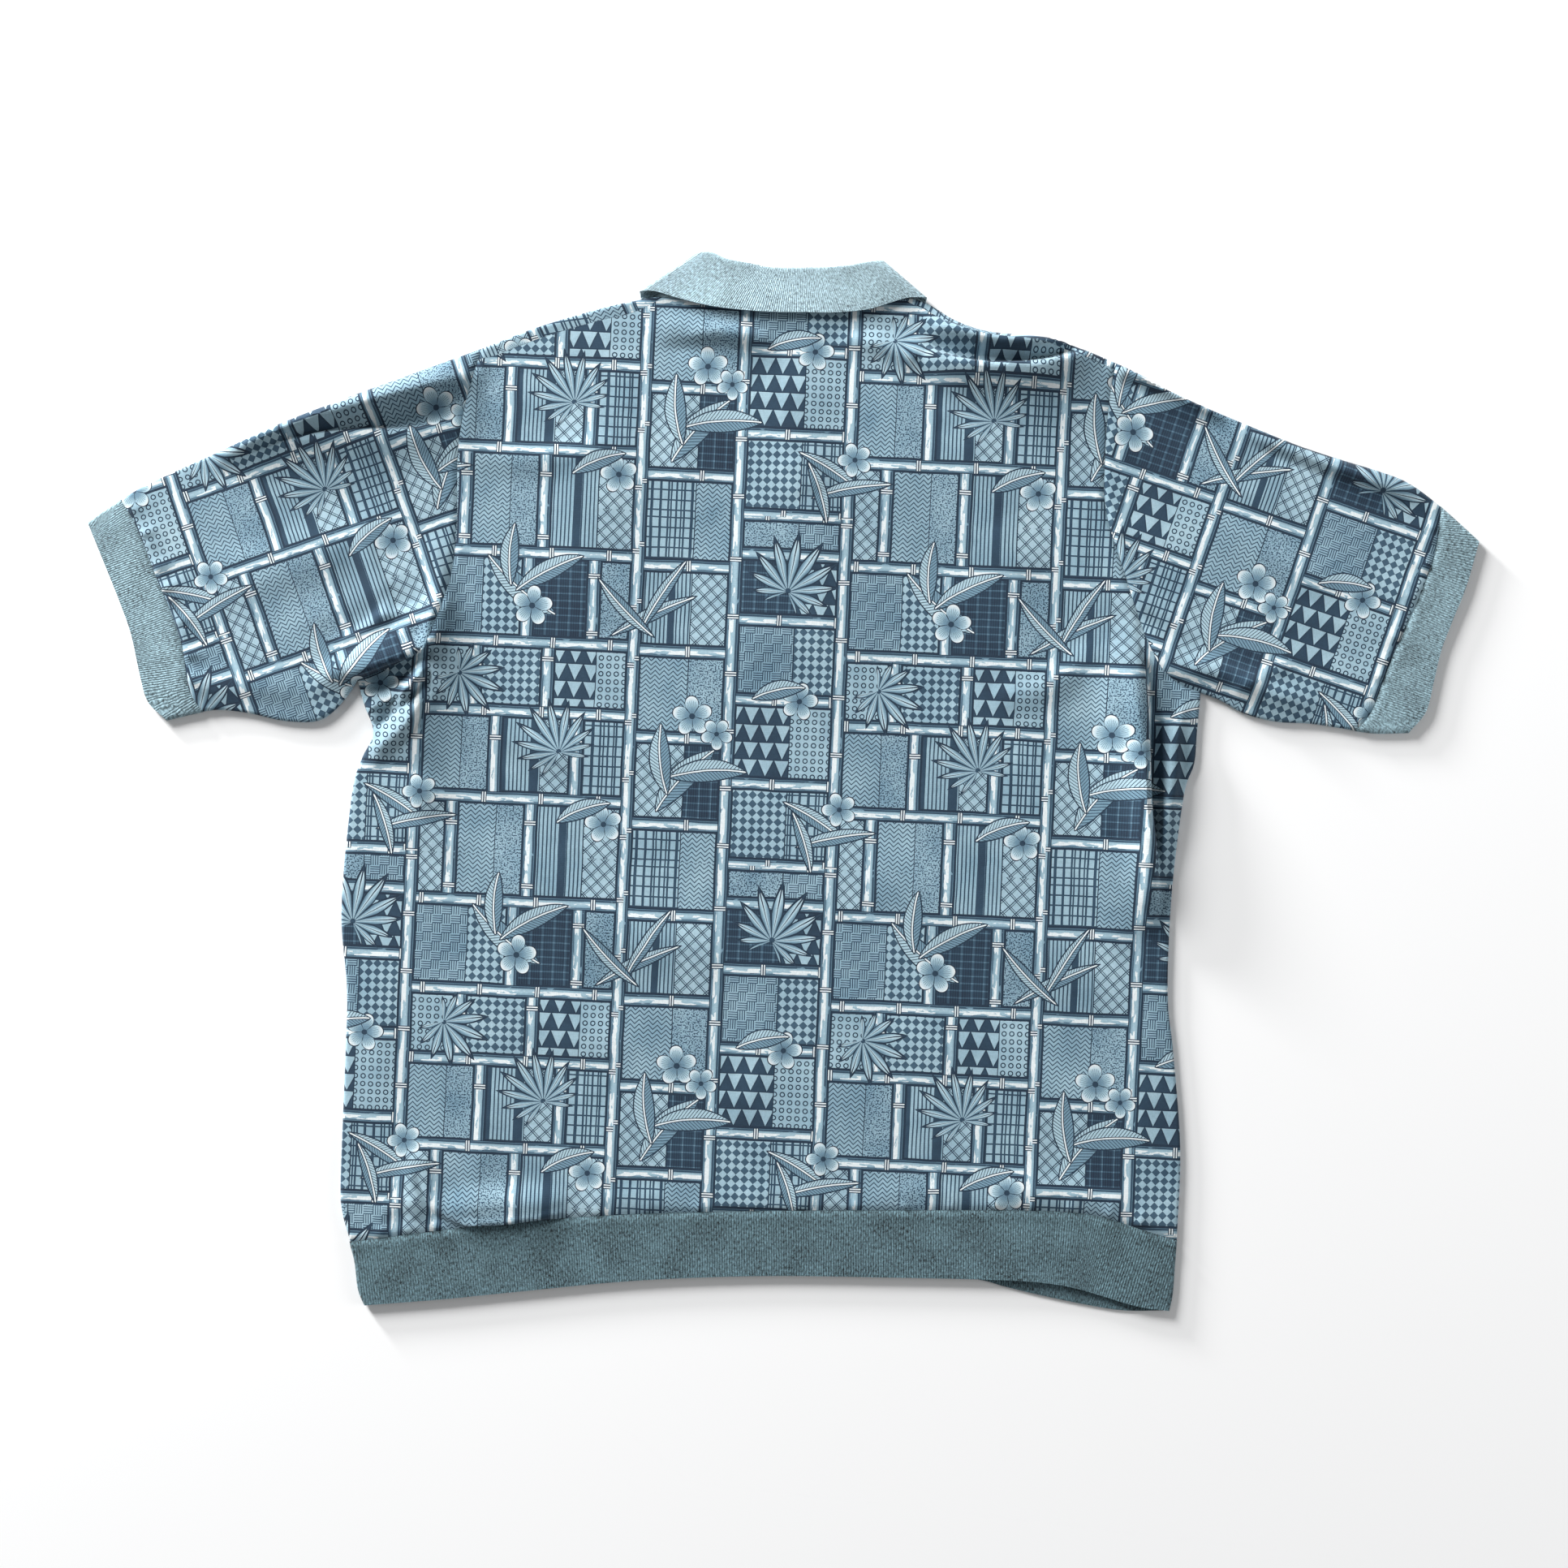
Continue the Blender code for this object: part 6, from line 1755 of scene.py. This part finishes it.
def lay_shirt(cloth):
    """All the cloth pieces, joined along the lines that they share."""
    left, right = Side(0), Side(1)
    hem = stations(smooth(HEM_SEAM), RIM, (True, True))
    neck = smooth(BACK_NECK)
    neck = neck[(lengths(neck) > NECK_WRAP) & (lengths(neck) < lengths(neck)[-1] - NECK_WRAP)]
    neck = stations(np.vstack([left.neck_end[-1], neck, right.neck_end[-1]]), RIM)
    necks = [neck_stations(line) for line in (FRONT_NECK_LEFT, FRONT_NECK_RIGHT)]
    slot = slot_stations()
    pieces = [
        back_piece(cloth["jersey_back"], left, right, hem, neck),
        front_piece(cloth["jersey_front"], left, right, hem, necks, slot),
        *placket_pieces(cloth["jersey_placket"], slot),
        *tube_pieces("left", cloth["jersey_sleeve_left"], cloth["rib_cuffs"], left, -19),
        *tube_pieces("right", cloth["jersey_sleeve_right"], cloth["rib_cuffs"], right, 19),
        band_piece(cloth["rib_hem"], left, right, hem),
        collar_piece(cloth["rib_collar"], neck, necks, left, right),
    ]
    return pieces, build_walls(pieces)


# The picture: its side in pixels, a pixel in millimetres, the pixel at the middle of the shirt; the camera's height
PHOTO_SIDE, PIXEL, CENTRE_X, CENTRE_Y = 1932, 0.58, 964.5, 965
CAMERA_HIGH, CLOTH_HIGH, FILM = 2.4, 0.006, 36.0
FLOOR_HALF, FLOOR_AT, FLOOR_PALE = 4, -0.0005, 0.95
WORLD_LIGHT, KEY_POWER, GRAZE_POWER, FILL_POWER = 0.24, 330.0, 235.0, 30.0

# Each piece's node, its finish and its cut: width, length and flat area, in metres
CUTS = {
    "back_body_cloth": ("back_body", "jersey_back", (0.60, 0.68), 0.37),
    "front_body_cloth": ("front_body", "jersey_front", (0.60, 0.69), 0.36),
    "placket_top_cloth": ("placket_top", "jersey_placket", (0.030, 0.150), None),
    "placket_under_cloth": ("placket_under", "jersey_placket", (0.027, 0.146), None),
    "sleeve_left_cloth": ("sleeve_left", "jersey_sleeve_left", (0.50, 0.27), 0.086),
    "sleeve_right_cloth": ("sleeve_right", "jersey_sleeve_right", (0.50, 0.27), 0.085),
    "cuff_left_cloth": ("cuff_left", "rib_cuffs", (0.315, 0.036), None),
    "cuff_right_cloth": ("cuff_right", "rib_cuffs", (0.315, 0.036), None),
    "hem_band_cloth": ("hem_band", "rib_hem", (1.18, 0.048), None),
    "collar_cloth": ("collar", "rib_collar", (0.46, 0.072), None),
}


def set_stage():
    """The pale floor, the soft studio light and the camera straight above."""
    mesh = bpy.data.meshes.new("floor")
    corners = [(i * FLOOR_HALF, j * FLOOR_HALF, FLOOR_AT) for i, j in ((-1, -1), (1, -1), (1, 1), (-1, 1))]
    mesh.from_pydata(corners, [], [(0, 1, 2, 3)])
    floor = bpy.data.objects.new("floor", mesh)
    bpy.context.scene.collection.objects.link(floor)
    white = bpy.data.materials.new("pale floor")
    white.use_nodes = True
    shader = white.node_tree.nodes["Principled BSDF"]
    shader.inputs["Base Color"].default_value = (FLOOR_PALE, FLOOR_PALE, FLOOR_PALE, 1)
    shader.inputs["Roughness"].default_value = 0.9
    shader.inputs["Specular IOR Level"].default_value = 0.1
    mesh.materials.append(white)

    world = bpy.data.worlds.new("studio")
    world.use_nodes = True
    world.node_tree.nodes["Background"].inputs["Color"].default_value = (0.97, 0.985, 1.0, 1)
    world.node_tree.nodes["Background"].inputs["Strength"].default_value = WORLD_LIGHT
    bpy.context.scene.world = world
    for name, place, size, power in (
        ("key light", (-2.9, 3.4, 2.1), 1.8, KEY_POWER),
        ("low light", (-2.6, 2.9, 0.62), 0.55, GRAZE_POWER),
        ("fill light", (3.0, -0.4, 1.1), 1.6, FILL_POWER),
    ):
        light = bpy.data.lights.new(name, "AREA")
        light.shape, light.size, light.energy = "DISK", size, power
        lamp = bpy.data.objects.new(name, light)
        lamp.location = place
        lamp.rotation_euler = (-Vector(place)).to_track_quat("-Z", "Y").to_euler()
        bpy.context.scene.collection.objects.link(lamp)

    lens = bpy.data.cameras.new("camera")
    lens.lens = FILM * (CAMERA_HIGH - CLOTH_HIGH) / (PHOTO_SIDE * PIXEL * MM)
    lens.clip_end = 20
    camera = bpy.data.objects.new("camera", lens)
    x, y = (PHOTO_SIDE / 2 - CENTRE_X) * PIXEL, (CENTRE_Y - PHOTO_SIDE / 2) * PIXEL
    camera.location = (x * MM - MIDDLE[0] * MM, y * MM - MIDDLE[1] * MM, CAMERA_HIGH)
    bpy.context.scene.collection.objects.link(camera)
    bpy.context.scene.camera = camera
    bpy.context.scene.view_settings.view_transform = "Standard"
    bpy.context.scene.view_settings.look = "None"


set_stage()
sheets, laid = lay_shirt(make_cloths())
for sheet in sheets:
    node, slot, flat, area = CUTS[sheet.name]
    piece = laid[sheet.name]
    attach(piece, "root")
    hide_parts(node)

plastic, pale_thread, dark_thread = make_trims()
sewn_on = build_buttons(plastic, pale_thread)
for name, piece in sewn_on.items():
    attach(piece, "root")
    if name.startswith("button"):
        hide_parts(name)
rows = sew_all(pale_thread, dark_thread)
for name, slot in (("seam", "jersey_back"), ("placket", "jersey_placket"), ("buttonholes", "jersey_placket")):
    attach(rows[name], "root")
